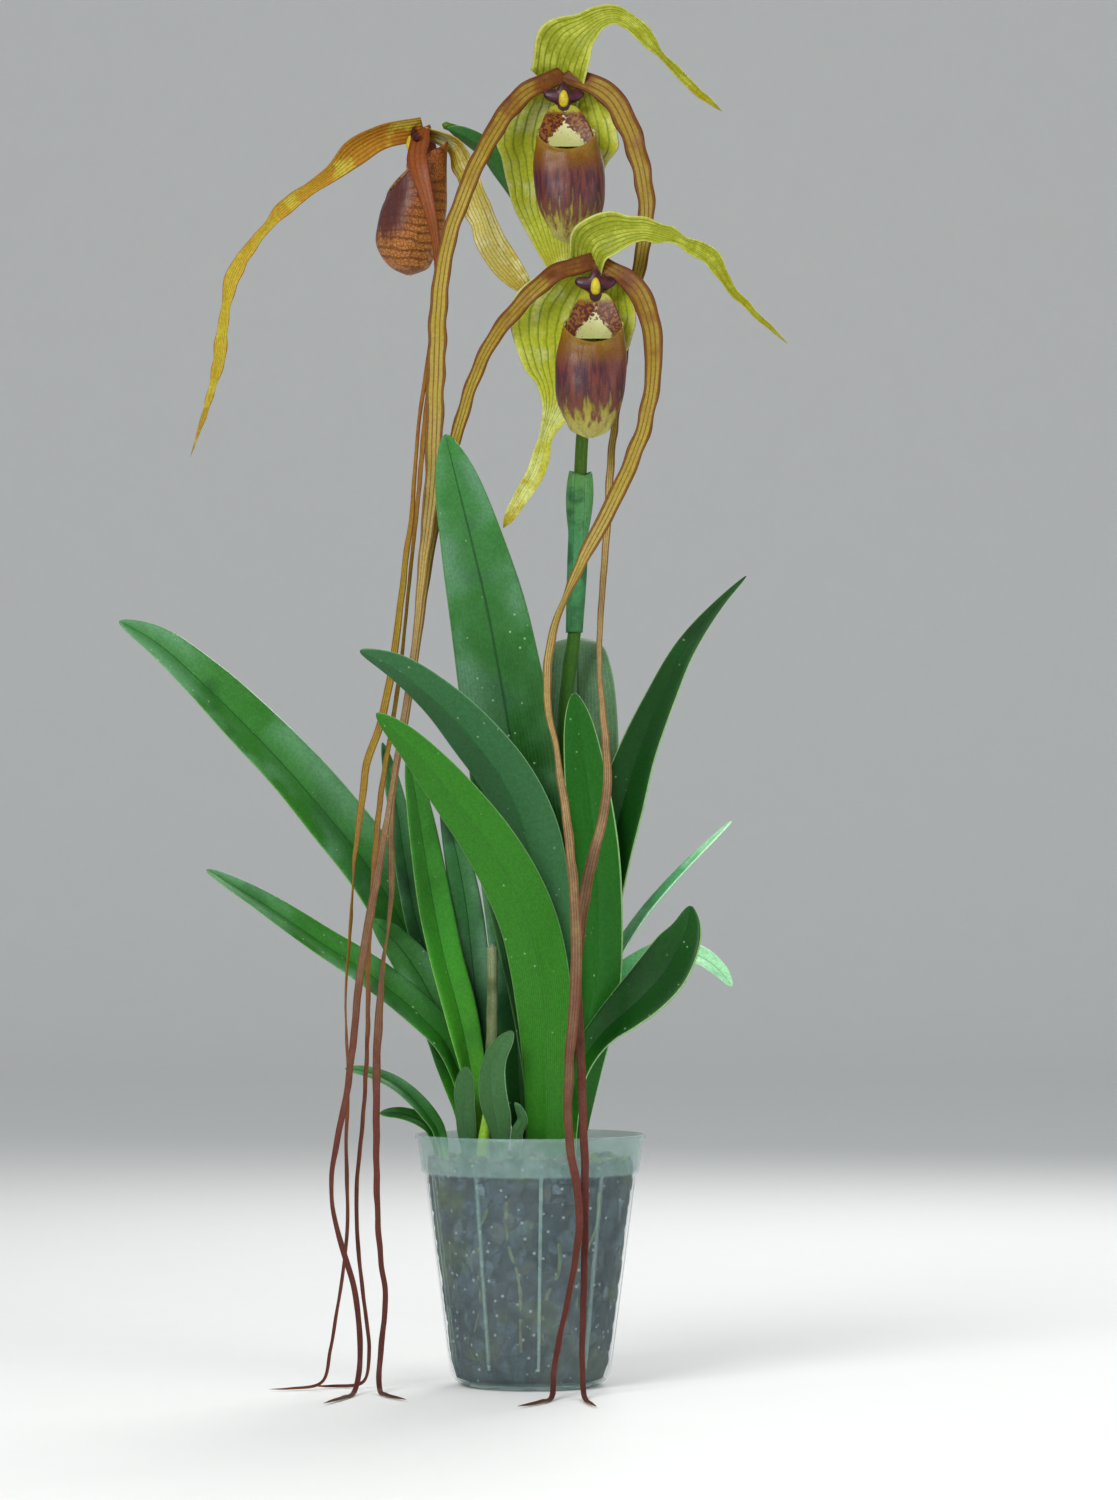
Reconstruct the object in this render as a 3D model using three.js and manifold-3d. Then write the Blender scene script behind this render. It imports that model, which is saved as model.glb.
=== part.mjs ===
// A slipper orchid in flower, standing in a clear nursery pot.
// Three flowers with ribbon petals that hang to the table, a stem, leafy growths, the mix and its roots.
// Millimetres, +Z up, the front towards -Y. The origin is the middle of the pot's underside.
import * as THREE from "three";
import { mergeVertices } from "three/addons/utils/BufferGeometryUtils.js";
import Module from "manifold-3d";

const wasm = await Module();
wasm.setup();

// ---------- Driving dimensions ----------
const POT = { height: 132, rimRadius: 61, shoulderRadius: 57, baseRadius: 43, wall: 1.2, cornerRadius: 11 };
const COLLAR_HEIGHT = 20; // the plain band under the rim, above the moulded ledge
const LEDGE = 1.0; // how far the wall steps in under the collar
const DRAIN_HOLES = 8;
const DRAIN_RADIUS = 3.5;
const DRAIN_CIRCLE = 26;
const AROUND = 32; // flat sides of every turned piece
const MIX_TOP = 115;
const MIX_GAP = 3.4; // room for a root between the mix and the wall
const GAP = 0.4; // clear distance between pieces that touch
const GROUND = MIX_TOP + GAP; // the level that leaves and stems start from
const ROOT_RADIUS = 1.3;
const LEAF_THICKNESS = 1.3;
const PETAL_THICKNESS = 1.3;
const SEPAL_THICKNESS = 1.2;

// ---------- Colours ----------
const COLOUR = {
  leaf: 0x2f7a2b,
  shoot: 0x9ccf3a,
  stem: 0x5f8f2f,
  bract: 0x4f8f68,
  oldStalk: 0xb9ae84,
  dorsal: 0xb7bd2f,
  synsepal: 0xc3cc4a,
  petal: 0xa8743a,
  pouch: 0x7d3c3f,
  column: 0xc8b22c,
  pot: 0xaab8b8,
  mix: 0x3f4a4a,
  root: 0x8fa37a,
};

const plant = new THREE.Group();

function addPiece(name, geometry, colour, roughness = 0.5) {
  const material = new THREE.MeshStandardMaterial({ color: colour, roughness, metalness: 0 });
  const mesh = new THREE.Mesh(geometry, material);
  mesh.name = name;
  plant.add(mesh);
  return mesh;
}

// ---------- Shapes ----------
const vec = (p) => new THREE.Vector3(p[0], p[1], p[2]);
const clamp01 = (t) => Math.min(1, Math.max(0, t));
const smooth = (a, b, t) => {
  const s = clamp01((t - a) / (b - a));
  return s * s * (3 - 2 * s);
};

// A value that passes smoothly through pairs of [share of the length, value].
function through(pairs, t) {
  let k = 0;
  while (k < pairs.length - 2 && t > pairs[k + 1][0]) k += 1;
  const [[a, low], [b, high]] = [pairs[k], pairs[k + 1]];
  return low + (high - low) * smooth(a, b, t);
}

function meshOf(points, index) {
  const geometry = new THREE.BufferGeometry();
  const values = points.flatMap((p) => [p.x, p.y, p.z]);
  geometry.setAttribute("position", new THREE.Float32BufferAttribute(values, 3));
  geometry.setIndex(index);
  return geometry;
}

// A closed skin over rings that all have the same number of points, closed at each end by a pole point.
function skin(startPole, rings, endPole) {
  const size = rings[0].length;
  const points = [startPole, ...rings.flat(), endPole];
  const last = points.length - 1;
  const index = [];
  for (let j = 0; j < size; j += 1) {
    const next = (j + 1) % size;
    index.push(0, 1 + next, 1 + j);
    for (let k = 0; k < rings.length - 1; k += 1) {
      const here = 1 + k * size;
      const above = here + size;
      index.push(here + j, here + next, above + next, here + j, above + next, above + j);
    }
    const top = 1 + (rings.length - 1) * size;
    index.push(last, top + j, top + next);
  }
  return meshOf(points, index);
}

// The frame of a blade at share t of its spine: the point, the way along, across, and out of its upper face.
function frameAt(curve, faces, t) {
  const point = curve.getPointAt(t);
  const along = curve.getTangentAt(t);
  const slot = t * (faces.length - 1);
  const k = Math.min(faces.length - 2, Math.floor(slot));
  const hint = faces.length > 1 ? vec(faces[k]).lerp(vec(faces[k + 1]), slot - k) : vec(faces[0]);
  const out = hint.addScaledVector(along, -hint.dot(along)).normalize();
  const across = new THREE.Vector3().crossVectors(along, out).normalize();
  return { point, along, out, across };
}

// A leaf, sepal or petal: a thin strip along a spine. Its section is a shallow V (fold, in degrees a side)
// or an arc (curl, in degrees a side), open towards its upper face. turn rolls it about its spine.
function blade(options) {
  const { spine, width, faces, thickness, fold = 0, curl = 0, sections = 11, across = 4 } = options;
  const turn = options.turn ?? [[0, 0], [1, 0]];
  const curve = new THREE.CatmullRomCurve3(spine.map(vec), false, "centripetal");
  const rings = [];
  for (let k = 0; k < sections; k += 1) {
    const t = (k / (sections - 0.35)) ** 0.96;
    const f = frameAt(curve, faces, t);
    const roll = THREE.MathUtils.degToRad(through(turn, t));
    const out = f.out.clone().applyAxisAngle(f.along, roll);
    const side = f.across.clone().applyAxisAngle(f.along, roll);
    const half = Math.max(0.5, width(t) / 2);
    const foldAngle = THREE.MathUtils.degToRad(typeof fold === "number" ? fold : through(fold, t));
    const curlAngle = THREE.MathUtils.degToRad(typeof curl === "number" ? curl : through(curl, t));
    const at = (u, face) => {
      const arc = curlAngle > 0.01 ? Math.sin(u * curlAngle) / curlAngle : u;
      const rise = curlAngle > 0.01 ? (1 - Math.cos(u * curlAngle)) / curlAngle : 0;
      const depth = (face * thickness * Math.sqrt(1 - u * u * 0.8)) / 2;
      const sideways = half * arc * Math.cos(foldAngle) - depth * Math.sin(u * curlAngle);
      const outward = half * (rise + Math.abs(u) * Math.sin(foldAngle)) + depth * Math.cos(u * curlAngle);
      return f.point.clone().addScaledVector(side, sideways).addScaledVector(out, outward);
    };
    const upper = Array.from({ length: across - 1 }, (_, j) => at(-1 + (2 * (j + 1)) / across, 1));
    const lower = Array.from({ length: across - 1 }, (_, j) => at(1 - (2 * (j + 1)) / across, -1));
    rings.push([at(-1, 0), ...upper, at(1, 0), ...lower]);
  }
  const middle = (ring) => ring[across / 2].clone().lerp(ring[across + across / 2], 0.5);
  return skin(middle(rings[0]), rings, curve.getPointAt(1));
}

function circle(frame, radius, sides) {
  return Array.from({ length: sides }, (_, j) => {
    const a = (2 * Math.PI * j) / sides;
    return frame.point
      .clone()
      .addScaledVector(frame.across, radius * Math.cos(a))
      .addScaledVector(frame.out, -radius * Math.sin(a));
  });
}

// A round stalk along a spine, with its radius given by share of the length.
function stalk({ spine, radius, sections = 10, sides = 8 }) {
  const curve = new THREE.CatmullRomCurve3(spine.map(vec), false, "centripetal");
  const shares = Array.from({ length: sections }, (_, k) => k / (sections - 1));
  const rings = shares.map((t) => circle(frameAt(curve, [[0.05, -1, 0.1]], t), radius(t), sides));
  return skin(curve.getPointAt(0), rings, curve.getPointAt(1));
}

const outline = (points) => points.map(([r, z]) => new THREE.Vector2(r, z));

function turned(points, around = AROUND) {
  return new THREE.LatheGeometry(outline(points), around).rotateX(Math.PI / 2);
}

function solid(geometry) {
  const bare = geometry.clone();
  bare.deleteAttribute("normal");
  bare.deleteAttribute("uv");
  const merged = mergeVertices(bare, 1e-4);
  return new wasm.Manifold(
    new wasm.Mesh({
      numProp: 3,
      vertProperties: new Float32Array(merged.attributes.position.array),
      triVerts: new Uint32Array(merged.index.array),
    }),
  );
}

function geometryOf(manifold) {
  const mesh = manifold.getMesh();
  const geometry = new THREE.BufferGeometry();
  geometry.setAttribute("position", new THREE.BufferAttribute(mesh.vertProperties, 3));
  geometry.setIndex(new THREE.BufferAttribute(mesh.triVerts, 1));
  return geometry;
}

// ---------- Pot ----------
const ledgeHeight = POT.height - COLLAR_HEIGHT;

// The outer radius of the pot's wall below the ledge, at height z.
const wallRadius = (z) => {
  const bottom = POT.cornerRadius;
  const share = clamp01((z - bottom) / (ledgeHeight - bottom));
  return POT.baseRadius + (POT.shoulderRadius - LEDGE - POT.baseRadius) * share;
};

function makePot() {
  const { height, rimRadius, shoulderRadius, baseRadius, wall, cornerRadius } = POT;
  const corner = (radius, inset) =>
    [0, 30, 60, 90].map((degrees) => {
      const a = THREE.MathUtils.degToRad(degrees);
      return [baseRadius - cornerRadius + radius * Math.sin(a), inset + radius - radius * Math.cos(a)];
    });
  const outside = [
    [0, 0],
    ...corner(cornerRadius, 0),
    [shoulderRadius - LEDGE, ledgeHeight - LEDGE],
    [shoulderRadius, ledgeHeight],
    [rimRadius - 1, height - 1.5],
    [rimRadius, height],
  ];
  const inside = [
    [rimRadius - wall - 0.5, height],
    [shoulderRadius - wall, ledgeHeight + 0.5],
    [shoulderRadius - LEDGE - wall, ledgeHeight - LEDGE],
    ...corner(cornerRadius - wall, wall).reverse(),
    [0, wall],
  ];
  let body = solid(turned([...outside, ...inside]));
  for (let k = 0; k < DRAIN_HOLES; k += 1) {
    const a = (2 * Math.PI * k) / DRAIN_HOLES;
    const drill = new THREE.CylinderGeometry(DRAIN_RADIUS, DRAIN_RADIUS, 8, 10);
    drill.rotateX(Math.PI / 2).translate(DRAIN_CIRCLE * Math.cos(a), DRAIN_CIRCLE * Math.sin(a), 0);
    body = body.subtract(solid(drill));
  }
  return geometryOf(body);
}

// The mix fills the pot to below the collar, a root's width clear of the wall.
function makeMix() {
  const floor = POT.wall + GAP;
  const radiusAt = (z) => wallRadius(z) - POT.wall - MIX_GAP;
  return turned(
    [
      [0, floor],
      [POT.baseRadius - POT.cornerRadius, floor],
      [radiusAt(POT.cornerRadius), POT.cornerRadius + 1],
      [radiusAt(60), 60],
      [radiusAt(MIX_TOP - 6), MIX_TOP - 6],
      [radiusAt(MIX_TOP) - 2, MIX_TOP],
      [0, MIX_TOP],
    ],
    32,
  );
}

// A root runs down between the mix and the wall, wandering round the pot from angle to angle (degrees).
function makeRoot(fromAngle, toAngle, fromHeight, toHeight) {
  const points = [0, 0.25, 0.5, 0.75, 1].map((share) => {
    const z = fromHeight + (toHeight - fromHeight) * share;
    const wander = 3 * Math.sin(share * 9 + fromAngle);
    const a = THREE.MathUtils.degToRad(fromAngle + (toAngle - fromAngle) * share + wander);
    const r = wallRadius(z) - POT.wall - MIX_GAP / 2;
    return [r * Math.cos(a), r * Math.sin(a), z];
  });
  return stalk({ spine: points, radius: (t) => ROOT_RADIUS * (1 - 0.3 * t), sections: 8, sides: 5 });
}

// ---------- Leaves ----------
// A strap leaf's width: narrow and folded at the base, full by a third, and drawn in to its tip.
const strapWidth = (full, base, hold = 0.45, blunt = 2) => (t) => {
  const opened = base + (1 - base) * smooth(0, 0.42, t);
  const towardsTip = Math.max(0, t - hold) / (1 - hold);
  return full * opened * Math.sqrt(Math.max(0, 1 - towardsTip ** blunt));
};

// Each leaf: its spine from the mix to its tip, full width, base share of that width, and upper face.
const LEAVES = [
  // The flowering growth, right of the middle.
  {
    name: "leaf_tall",
    spine: [
      [2, 5, GROUND], [5, 4, 175], [3, 0, 235], [-4, -7, 290], [-9, -13, 330], [-14, -19, 360],
      [-21, -27, 400], [-27, -34, 427], [-33, -41, 452], [-38, -45, 472], [-44, -48, 497],
    ],
    full: 50, base: 0.3, faces: [[0, -1, 0.1]], fold: [[0, 50], [0.35, 18], [1, 14]],
  },
  {
    name: "leaf_arching_upper",
    spine: [
      [6, -8.5, GROUND], [7.5, -11, 180], [3.5, -19.5, 235], [-1, -26, 283], [-15, -35, 318],
      [-36, -45, 345],
      [-58, -52, 366], [-75, -55, 378], [-88, -56, 384],
    ],
    full: 38, base: 0.4, faces: [[0.2, 1, 0.1], [0.4, 0.9, 0.3], [0.5, 0.7, 0.6]],
    fold: [[0, 42], [0.4, 16], [1, 14]], hold: 0.5,
  },
  {
    name: "leaf_front",
    spine: [
      [9, -20, GROUND], [9, -23, 155], [7, -26, 200], [0, -33, 240], [-14, -42, 272], [-33, -52, 300],
      [-54, -61, 326], [-69, -66, 342], [-79, -68, 351],
    ],
    full: 31, base: 0.75, faces: [[0, 1, 0], [0.1, 1, 0], [0.4, 0.9, 0.3]],
    fold: [[0, 24], [0.4, 12], [1, 10]],
  },
  {
    name: "leaf_right_tall",
    spine: [
      [22, 1, GROUND], [25, 2, 165], [31, 3, 212], [37, 2, 256], [46, 0, 293], [54, -2, 325], [63, -4, 345],
      [74, -6, 373], [91, -8, 401], [114, -10, 426],
    ],
    faces: [[-0.3, -1, 0]],
    fold: [[0, 48], [0.35, 20], [1, 20]],
    width: [[0, 10], [0.3, 26], [0.6, 27], [0.68, 22], [0.78, 17], [0.88, 11], [1, 0]],
  },
  {
    name: "leaf_behind_stem",
    spine: [
      [21, 13, GROUND], [22, 14, 180], [23, 15, 250], [24, 16, 310], [25, 18, 355], [25, 25, 385],
      [25, 38, 396], [25, 56, 386],
    ],
    full: 36, base: 0.36, faces: [[0, -1, 0], [0, -1, 0], [0, -1, 0.2], [0, -0.5, -1]],
    fold: [[0, 45], [0.35, 16], [1, 10]], hold: 0.6,
  },
  {
    name: "leaf_before_stem",
    spine: [
      [22.5, -9.5, GROUND], [29, -13, 165], [35, -14.5, 220], [34, -17, 275], [29, -17, 320], [23, -19, 364],
    ],
    full: 27, base: 0.42, faces: [[0, 1, 0]], fold: [[0, 40], [0.4, 12], [1, 10]], hold: 0.55, blunt: 2.4,
  },
  {
    name: "leaf_right_broad",
    spine: [
      [21, -15.5, GROUND + 1], [22, -17.5, 145], [28, -20, 170], [38, -23, 185], [53, -27, 199],
      [67, -30, 213], [76, -32, 227], [82, -33, 240], [84, -33, 252],
    ],
    faces: [[-0.6, -0.8, 0.1], [-0.5, -0.8, 0.4], [-0.3, -0.9, 0.2]],
    fold: [[0, 8], [0.4, 16], [1, 12]],
    width: [[0, 8], [0.3, 12], [0.47, 21], [0.6, 28], [0.72, 33], [0.83, 28], [0.92, 18], [1, 0]],
  },
  {
    name: "leaf_right_narrow",
    spine: [[24, 18, GROUND], [27, 19, 165], [38, 18, 207], [54, 17, 237], [79, 16, 268], [107, 15, 297]],
    full: 18, base: 0.5, faces: [[-0.6, -0.4, 0.3], [-0.5, -0.3, 0.8], [-0.55, -0.28, 0.8]],
    fold: [[0, 44], [0.4, 18], [1, 14]], hold: 0.4,
  },
  {
    name: "leaf_right_drooping",
    spine: [
      [19, 26, GROUND], [23, 28, 160], [34, 29, 194], [53, 29, 216], [77, 27, 227], [95, 23, 222],
      [107, 20, 209],
    ],
    full: 20, base: 0.5, faces: [[-0.6, -0.8, 0.1], [-0.4, -0.7, 0.7], [0.3, -0.6, 0.9]],
    fold: [[0, 40], [0.4, 16], [1, 12]], hold: 0.6, blunt: 2.6,
  },
  {
    name: "leaf_shaded",
    spine: [[-4, 12, GROUND], [-7, 12, 170], [-10, 10, 215], [-15, 7, 250], [-22, 4, 280], [-30, 2, 300]],
    full: 22, base: 0.45, faces: [[0, -1, 0]], fold: [[0, 40], [0.4, 16], [1, 12]],
  },
  // The growth on the left.
  {
    name: "leaf_left_upright",
    spine: [
      [-28, -1, GROUND], [-31, 0, 160], [-38, 1, 195], [-46, 2, 225], [-52, 2, 255], [-57, 2.5, 285],
      [-61, 3, 310], [-65, 3, 334],
    ],
    full: 21, base: 0.5, faces: [[0.5, -1, 0]], fold: [[0, 40], [0.4, 22], [1, 20]], hold: 0.55,
  },
  {
    name: "leaf_left_rear",
    spine: [
      [-27, 18, GROUND], [-34, 19, 165], [-48, 18.5, 205], [-60, 18, 240], [-67, 18, 275], [-72, 18, 307],
      [-79, 17, 339],
    ],
    full: 15, base: 0.5, faces: [[0.5, -1, 0]], fold: [[0, 40], [0.4, 20], [1, 16]], hold: 0.6,
  },
  {
    name: "leaf_left_inner",
    spine: [
      [-20.5, 7, GROUND], [-24.5, 9, 165], [-30, 10, 215], [-35, 8, 258], [-42, 9, 292], [-47, 10, 312],
    ],
    full: 19, base: 0.5, faces: [[0, -1, 0]], fold: [[0, 40], [0.4, 16], [1, 12]],
  },
  {
    name: "leaf_left_long",
    spine: [
      [-28, 30, GROUND], [-39, 31, 169], [-57, 30, 217], [-80, 29, 262], [-109, 28, 300], [-140, 27, 335],
      [-171, 26, 366], [-197, 25, 390], [-220, 24, 404],
    ],
    full: 37, base: 0.3, faces: [[0.3, -0.9, 0.3], [0.35, -0.8, 0.5]], fold: [[0, 42], [0.4, 22], [1, 20]],
    hold: 0.55, blunt: 2.2,
  },
  {
    name: "leaf_left_short",
    spine: [[-33, 13, GROUND], [-35, 12, 150], [-43, 10, 182], [-57, 9, 212], [-71, 9, 232], [-84, 9, 245]],
    full: 25, base: 0.36, faces: [[0.2, -1, 0.1]], fold: [[0, 40], [0.4, 14], [1, 10]],
  },
  {
    name: "leaf_left_low",
    spine: [
      [-33, 5.5, GROUND], [-35, 4.5, 152], [-43, 2, 176], [-61, 1, 196], [-85, 1, 215], [-112, 0, 233],
      [-140, -1, 252], [-158, -2, 263], [-171, -3, 271],
    ],
    full: 23, base: 0.45, faces: [[0.4, -0.8, 0.4], [0.3, -0.7, 0.7]], fold: [[0, 40], [0.4, 20], [1, 16]],
  },
  // Small leaves low on the left.
  {
    name: "leaf_small_upper",
    spine: [[-46, -4, GROUND], [-49, -3, 133], [-59, -2, 147], [-72, 0, 158], [-86, 1, 164], [-98, 2, 166]],
    full: 12, base: 0.55, faces: [[0.4, -0.7, 0.7]], fold: [[0, 36], [0.4, 18], [1, 16]], sections: 9,
  },
  {
    name: "leaf_small_lower",
    spine: [[-48, 8, GROUND], [-52, 9, 133], [-60, 10, 139], [-70, 11, 142], [-80, 12, 142]],
    full: 10, base: 0.6, faces: [[0.4, -0.8, 0.6]], fold: [[0, 36], [0.4, 18], [1, 16]], sections: 8,
  },
  // The young growth at the front.
  {
    name: "young_leaf_curved",
    spine: [[-15, -29, GROUND], [-17, -31, 138], [-20, -33, 156], [-19, -34, 172], [-9, -35, 187]],
    full: 17, base: 0.4, faces: [[0.5, 0.9, 0]], fold: [[0, 34], [0.4, 12], [1, 10]], sections: 9,
  },
  {
    name: "young_leaf_left",
    spine: [[-33, -16, GROUND], [-34, -17, 136], [-35, -18, 152], [-34, -19, 168]],
    full: 12, base: 0.6, faces: [[0.4, 0.9, 0]], fold: [[0, 34], [0.5, 16], [1, 12]], hold: 0.6, blunt: 3,
    sections: 7,
  },
  {
    name: "young_leaf_tiny",
    spine: [[-7, -35, GROUND], [-7, -36, 134], [-4, -37, 142], [-8, -38, 150]],
    full: 7, base: 0.6, faces: [[0.3, 0.9, 0]], fold: [[0, 30], [1, 14]], sections: 6,
  },
];

function makeLeaf(leaf) {
  const { spine, width, full, base, faces, fold, hold = 0.45, blunt = 2, sections = 11 } = leaf;
  const widthAt = width ? (t) => through(width, t) : strapWidth(full, base, hold, blunt);
  return blade({ spine, faces, fold, sections, width: widthAt, thickness: LEAF_THICKNESS });
}

// ---------- Stem ----------
const STEM = [
  [14, 4, GROUND], [14, 4, 200], [15, 4, 280], [16.5, 4, 330], [19, 3.5, 365], [23, 3, 395],
  [25, 2.5, 440], [27, 3, 495], [29, 6, 530], [28, 9, 560], [23, 11, 588], [14, 13, 612],
];
const SHEATH = [[23, 3, 397], [24.2, 2.8, 420], [25, 2.5, 443], [26.5, 2.8, 474], [27, 3, 482]];
const OLD_STALK = [[-21.5, -13, GROUND], [-21, -14, 150], [-20, -16, 200], [-20, -17, 232]];

const SHOOT = [[-25, -22, GROUND], [-24.5, -22.5, 126], [-23.5, -23, 138], [-22.5, -23.5, 149]];

// Each ovary carries one flower. It leaves the stem inside a folded bract.
const OVARIES = {
  a: [[10, 13.5, 617], [9, 12, 641], [12, 4, 667], [16, -5, 684.5]],
  b: [[30, 0.8, 540], [33, -8, 556], [36, -22, 574], [37, -36, 584]],
  c: [[6, 16, 619], [-6, 15, 634], [-18.5, 10, 650], [-33, 5, 662], [-47, 1, 667]],
};
const BRACTS = {
  a: { spine: [[15, 20, 619], [10, 21, 641], [9, 16, 665], [13, 8, 682]], faces: [[0, -1, 0]], full: 15 },
  b: {
    spine: [[36, 6, 545], [40, -2, 556], [44, -15, 572], [46, -27, 580]],
    faces: [[-0.9, -0.2, 0.6]],
    full: 13,
  },
  c: {
    spine: [[-4, 8, 622], [-12.5, 4, 637], [-21.5, 0, 650], [-33.5, -4, 659], [-44.5, -6, 664]],
    faces: [[0.2, 0.9, 0.6]],
    full: 14,
  },
};

// A tube: outer rings from bottom to top, then inner rings back down, joined into a loop.
function tube(rings) {
  const size = rings[0].length;
  const index = [];
  rings.forEach((_, k) => {
    const here = k * size;
    const above = ((k + 1) % rings.length) * size;
    for (let j = 0; j < size; j += 1) {
      const next = (j + 1) % size;
      index.push(here + j, here + next, above + next, here + j, above + next, above + j);
    }
  });
  return meshOf(rings.flat(), index);
}

// The stem's sheath stands clear of the stem and flares at its mouth.
function makeSheath() {
  const curve = new THREE.CatmullRomCurve3(SHEATH.map(vec), false, "centripetal");
  const bore = 4.4;
  const profile = [
    [0, 0.8], [0.3, 1], [0.7, 1.1], [0.9, 2.4], [1, 2.1],
    [1, 0.9], [0.7, 0], [0.3, 0], [0, 0],
  ];
  return tube(profile.map(([t, wall]) => circle(frameAt(curve, [[0.05, -1, 0.1]], t), bore + wall, 10)));
}

// ---------- Flowers ----------
// Six parts each: two sepals, two ribbon petals, the pouch and the column.
// face is the way the flower looks.
const RIBBON = [[0, 5], [0.03, 8.5], [0.2, 8.5], [0.4, 7], [0.55, 5], [0.75, 3.6], [0.95, 2.8], [1, 1.2]];
const HANG = [0, -1, 0];
const LIE = [0, -0.7, 0.7];
const LIE_LEFT = [-0.7, -0.5, 0.7];
const hangThen = (lie) => [...Array(6).fill(HANG), ...Array(5).fill(lie)];

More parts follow.
